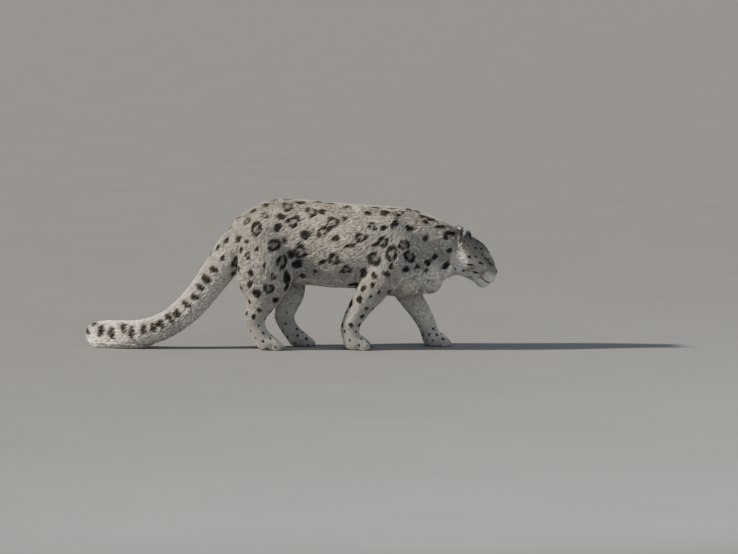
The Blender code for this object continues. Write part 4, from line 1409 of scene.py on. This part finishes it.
def makeRim(side, name):
    # the dark wet edge of the lids
    deselectAll()
    bpy.ops.mesh.primitive_torus_add(major_segments=eyePlan["rimSteps"], minor_segments=eyePlan["rimSides"],
                                     major_radius=1, minor_radius=eyePlan["torusTube"])
    rim = bpy.context.object
    rim.name = name
    local = placesOf(rim.data)
    angle = np.arctan2(local[:, 1], local[:, 0])
    share = np.cos(angle)
    across = share * np.where(share > 0, facePlan["lidOut"], facePlan["lidIn"])
    up = np.where(angle > 0, lidHeight(share, True), -lidHeight(share, False))
    way = lidWay(across, up)
    outward = unit(lidWay(across * 1.12 + 0.01, up * 1.12) - way)
    tube = eyePlan["rimTube"] * (1 + 0.35 * ramp(-0.6, -1, share))
    offWay = (np.hypot(local[:, 0], local[:, 1]) - 1) / eyePlan["torusTube"]
    lift = local[:, 2] / eyePlan["torusTube"]
    place = way * facePlan["eyeRadius"] * eyePlan["rimAt"]
    place = place + (outward * offWay[:, None] + way * lift[:, None]) * tube[:, None]
    turn = eyeFrame(side)
    setPlaces(rim.data, eyeMiddle(side) + place @ turn.T)
    turnOutwards(rim)
    rim.data.shade_smooth()
    paintTones(rim.data, (1, 1, 1))
    rim.data.materials.append(darkLeather)
    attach(rim, "root")
    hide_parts("head")


def leatherMaterial(name, deep, light, grainScale, roughness):
    # bare wet skin: pebbled, between two tones
    material, tree, shader = newMaterial(name, {
        "Roughness": roughness, "Coat Weight": 0.25, "Coat Roughness": 0.25,
    })
    place = newNode(tree, "TexCoord")
    cloud = newNode(tree, "TexNoise", {"Scale": 160})
    colours = newNode(tree, "ValToRGB")
    for stop, position, colour in zip(colours.color_ramp.elements, (0.35, 0.65), (deep, light)):
        stop.position = position
        stop.color = (*colour, 1)
    tone = newNode(tree, "Attribute")
    tone.attribute_name = "tone"
    blend = newNode(tree, "VectorMath", operation="MULTIPLY")
    pebbles = newNode(tree, "TexVoronoi", {"Scale": grainScale})
    bump = newNode(tree, "Bump", {"Strength": 0.35, "Distance": 0.0004})
    wire(tree, (place, "Object", cloud, "Vector"), (place, "Object", pebbles, "Vector"),
         (cloud, "Fac", colours, "Fac"), (colours, "Color", blend, 0), (tone, "Color", blend, 1),
         (blend, "Vector", shader, "Base Color"), (pebbles, "Distance", bump, "Height"),
         (bump, "Normal", shader, "Normal"))
    return material


nosePlan = {
    "place": (0.1235, 0, -0.0098), "halfSizes": (0.0105, 0.0170, 0.0118), "tilt": -14,
    "segments": 56, "rings": 40,
    "narrow": 0.58,               # width of the bottom as a share of the top's
    "nostril": (0.0086, -0.0028), "nostrilWide": 0.0025, "nostrilDeep": 0.0060,
    "slit": (0.0158, 0.0016), "slitWide": 0.0016, "slitDeep": 0.0036, "slitIn": 0.0006,
    "grooveWide": 0.0009, "grooveDeep": 0.0013,
}


def makeNose():
    deselectAll()
    bpy.ops.mesh.primitive_uv_sphere_add(segments=nosePlan["segments"], ring_count=nosePlan["rings"],
                                         radius=1, rotation=(0, math.pi / 2, 0))
    nose = bpy.context.object
    bpy.ops.object.transform_apply(location=False, rotation=True, scale=False)
    nose.name = "noseLeather"
    ball = placesOf(nose.data)
    size = np.array(nosePlan["halfSizes"])
    shaped = np.sign(ball) * np.abs(ball) ** np.array((0.85, 0.90, 0.88))
    low = (1 - shaped[:, 2]) / 2
    shaped[:, 1] *= 1 - (1 - nosePlan["narrow"]) * low ** 1.3
    local = shaped * size
    y, z = np.abs(local[:, 1]), local[:, 2]
    ahead = ramp(0.0, 0.5, ball[:, 0])
    fromHole = np.stack([y, z], 1) - nosePlan["nostril"]
    hole = np.exp(-((fromHole ** 2).sum(1) / nosePlan["nostrilWide"] ** 2) ** 1.4)
    along = np.array(nosePlan["slit"]) - nosePlan["nostril"]
    share = np.clip((fromHole @ along) / (along @ along), 0, 1)
    slit = np.exp(-((np.linalg.norm(fromHole - share[:, None] * along, axis=1) / nosePlan["slitWide"]) ** 2))
    slit *= ramp(-0.2, 0.3, ball[:, 0])
    groove = np.exp(-(local[:, 1] / nosePlan["grooveWide"]) ** 2) * ramp(0.35, -0.1, ball[:, 2])
    dent = ahead * (hole * nosePlan["nostrilDeep"] + groove * nosePlan["grooveDeep"])
    dent += slit * nosePlan["slitDeep"]
    local = local - np.stack([dent, np.zeros(len(dent)), np.zeros(len(dent))], 1)
    local[:, 1] -= np.sign(local[:, 1]) * slit * nosePlan["slitIn"]
    tilt = math.radians(nosePlan["tilt"])
    turn = np.array(((math.cos(tilt), 0, math.sin(tilt)), (0, 1, 0), (-math.sin(tilt), 0, math.cos(tilt))))
    setPlaces(nose.data, fromHead(local @ turn.T + nosePlan["place"]))
    # painted shade: near black in the nostrils and their slits, and darker along the middle groove; the
    # darker back edge is the leather's own colour
    dark = np.clip(ahead * hole * 1.6 + slit * 0.8 + 0.5 * groove * ahead, 0, 1)
    edge = 0.55 * ramp(0.45, 0.05, ball[:, 0])
    paintTones(nose.data, mix(mix((1.0, 1.0, 1.0), (0.25, 0.22, 0.22), edge), (0.03, 0.02, 0.02), dark))
    nose.data.shade_smooth()
    nose.data.materials.append(noseLeather)
    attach(nose, "root")
    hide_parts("nose")


hairPlan = {
    "steps": 14, "sides": 5, "thick": 0.00042,
    "whiskerLong": 0.058, "whiskerStep": 0.012,
    "brows": 4, "browLong": 0.045,
    "browFirst": (0.060, 0.046, 0.044), "browStep": (0.004, -0.006, 0.002),
}


def hairTube(root, way, bend, long, thick):
    # one tapered bristle as rings of points
    share = np.linspace(0, 1, hairPlan["steps"])[:, None]
    line = root + (way * share + bend * share ** 2) * long
    along = unit(np.gradient(line, axis=0))
    side = unit(np.cross(along, (0.1, 0.2, 1.0)))
    other = np.cross(along, side)
    turn = np.arange(hairPlan["sides"]) * 2 * math.pi / hairPlan["sides"]
    ring = np.cos(turn)[None, :, None] * side[:, None] + np.sin(turn)[None, :, None] * other[:, None]
    return line[:, None] + ring * (thick * (1 - 0.9 * share ** 1.3))[:, :, None]


def makeBristles():
    points = []
    for side, row, dot, k in whiskerRoots:
        if dot == 0 or (row == 3 and dot == 3):
            continue
        out = unit(normals[k] * 0.9 + lie[k] * 0.55 + headWay((0, 0, 0.06 - 0.07 * row)))
        bend = unit(lie[k] + headWay((-0.2, 0, -0.8))) * rng.uniform(0.22, 0.38)
        long = (hairPlan["whiskerLong"] + hairPlan["whiskerStep"] * dot) * rng.uniform(0.85, 1.15)
        points.append(hairTube(places[k] - normals[k] * 0.001, out, bend, long, hairPlan["thick"]))
    for side in (1, -1):
        for step in range(hairPlan["brows"]):
            x, y, z = np.array(hairPlan["browFirst"]) + np.array(hairPlan["browStep"]) * step
            k = skinPlaces.find(fromHead((x, side * y, z)))[1]
            out = unit(normals[k] + headWay((0.1, side * 0.25, 0.7)))
            bend = headWay((-0.7, side * 0.1, 0.0)) * rng.uniform(0.25, 0.4)
            points.append(hairTube(places[k], out, bend, hairPlan["browLong"] * rng.uniform(0.8, 1.15),
                                   hairPlan["thick"] * 0.8))
    faces = []
    steps, sides = hairPlan["steps"], hairPlan["sides"]
    for hair in range(len(points)):
        base = hair * steps * sides
        for step in range(steps - 1):
            for k in range(sides):
                a, b = base + step * sides + k, base + step * sides + (k + 1) % sides
                faces.append((a, b, b + sides, a + sides))
        faces.append(tuple(base + k for k in range(sides))[::-1])
        faces.append(tuple(base + (steps - 1) * sides + k for k in range(sides)))
    mesh = bpy.data.meshes.new("bristles")
    mesh.from_pydata(np.array(points).reshape(-1, 3).tolist(), [], faces)
    bristles = bpy.data.objects.new("bristles", mesh)
    bpy.context.scene.collection.objects.link(bristles)
    turnOutwards(bristles)
    mesh.shade_smooth()
    paintTones(mesh, (0.88, 0.87, 0.84))
    mesh.materials.append(coatMaterial)
    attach(bristles, "root")
    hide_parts("muzzle", "head")


eyeGlass = eyeMaterial()
darkLeather = leatherMaterial("lidLeather", (0.010, 0.008, 0.008), (0.028, 0.020, 0.018), 1500, 0.35)
noseLeather = leatherMaterial("noseSkin", (0.150, 0.090, 0.080), (0.235, 0.145, 0.128), 900, 0.48)
makeEye(1, "eyeLeft", "eye_left")
makeEye(-1, "eyeRight", "eye_right")
makeRim(1, "lidRimLeft")
makeRim(-1, "lidRimRight")
makeNose()
makeBristles()
report("eyes, lids, nose and whiskers made")
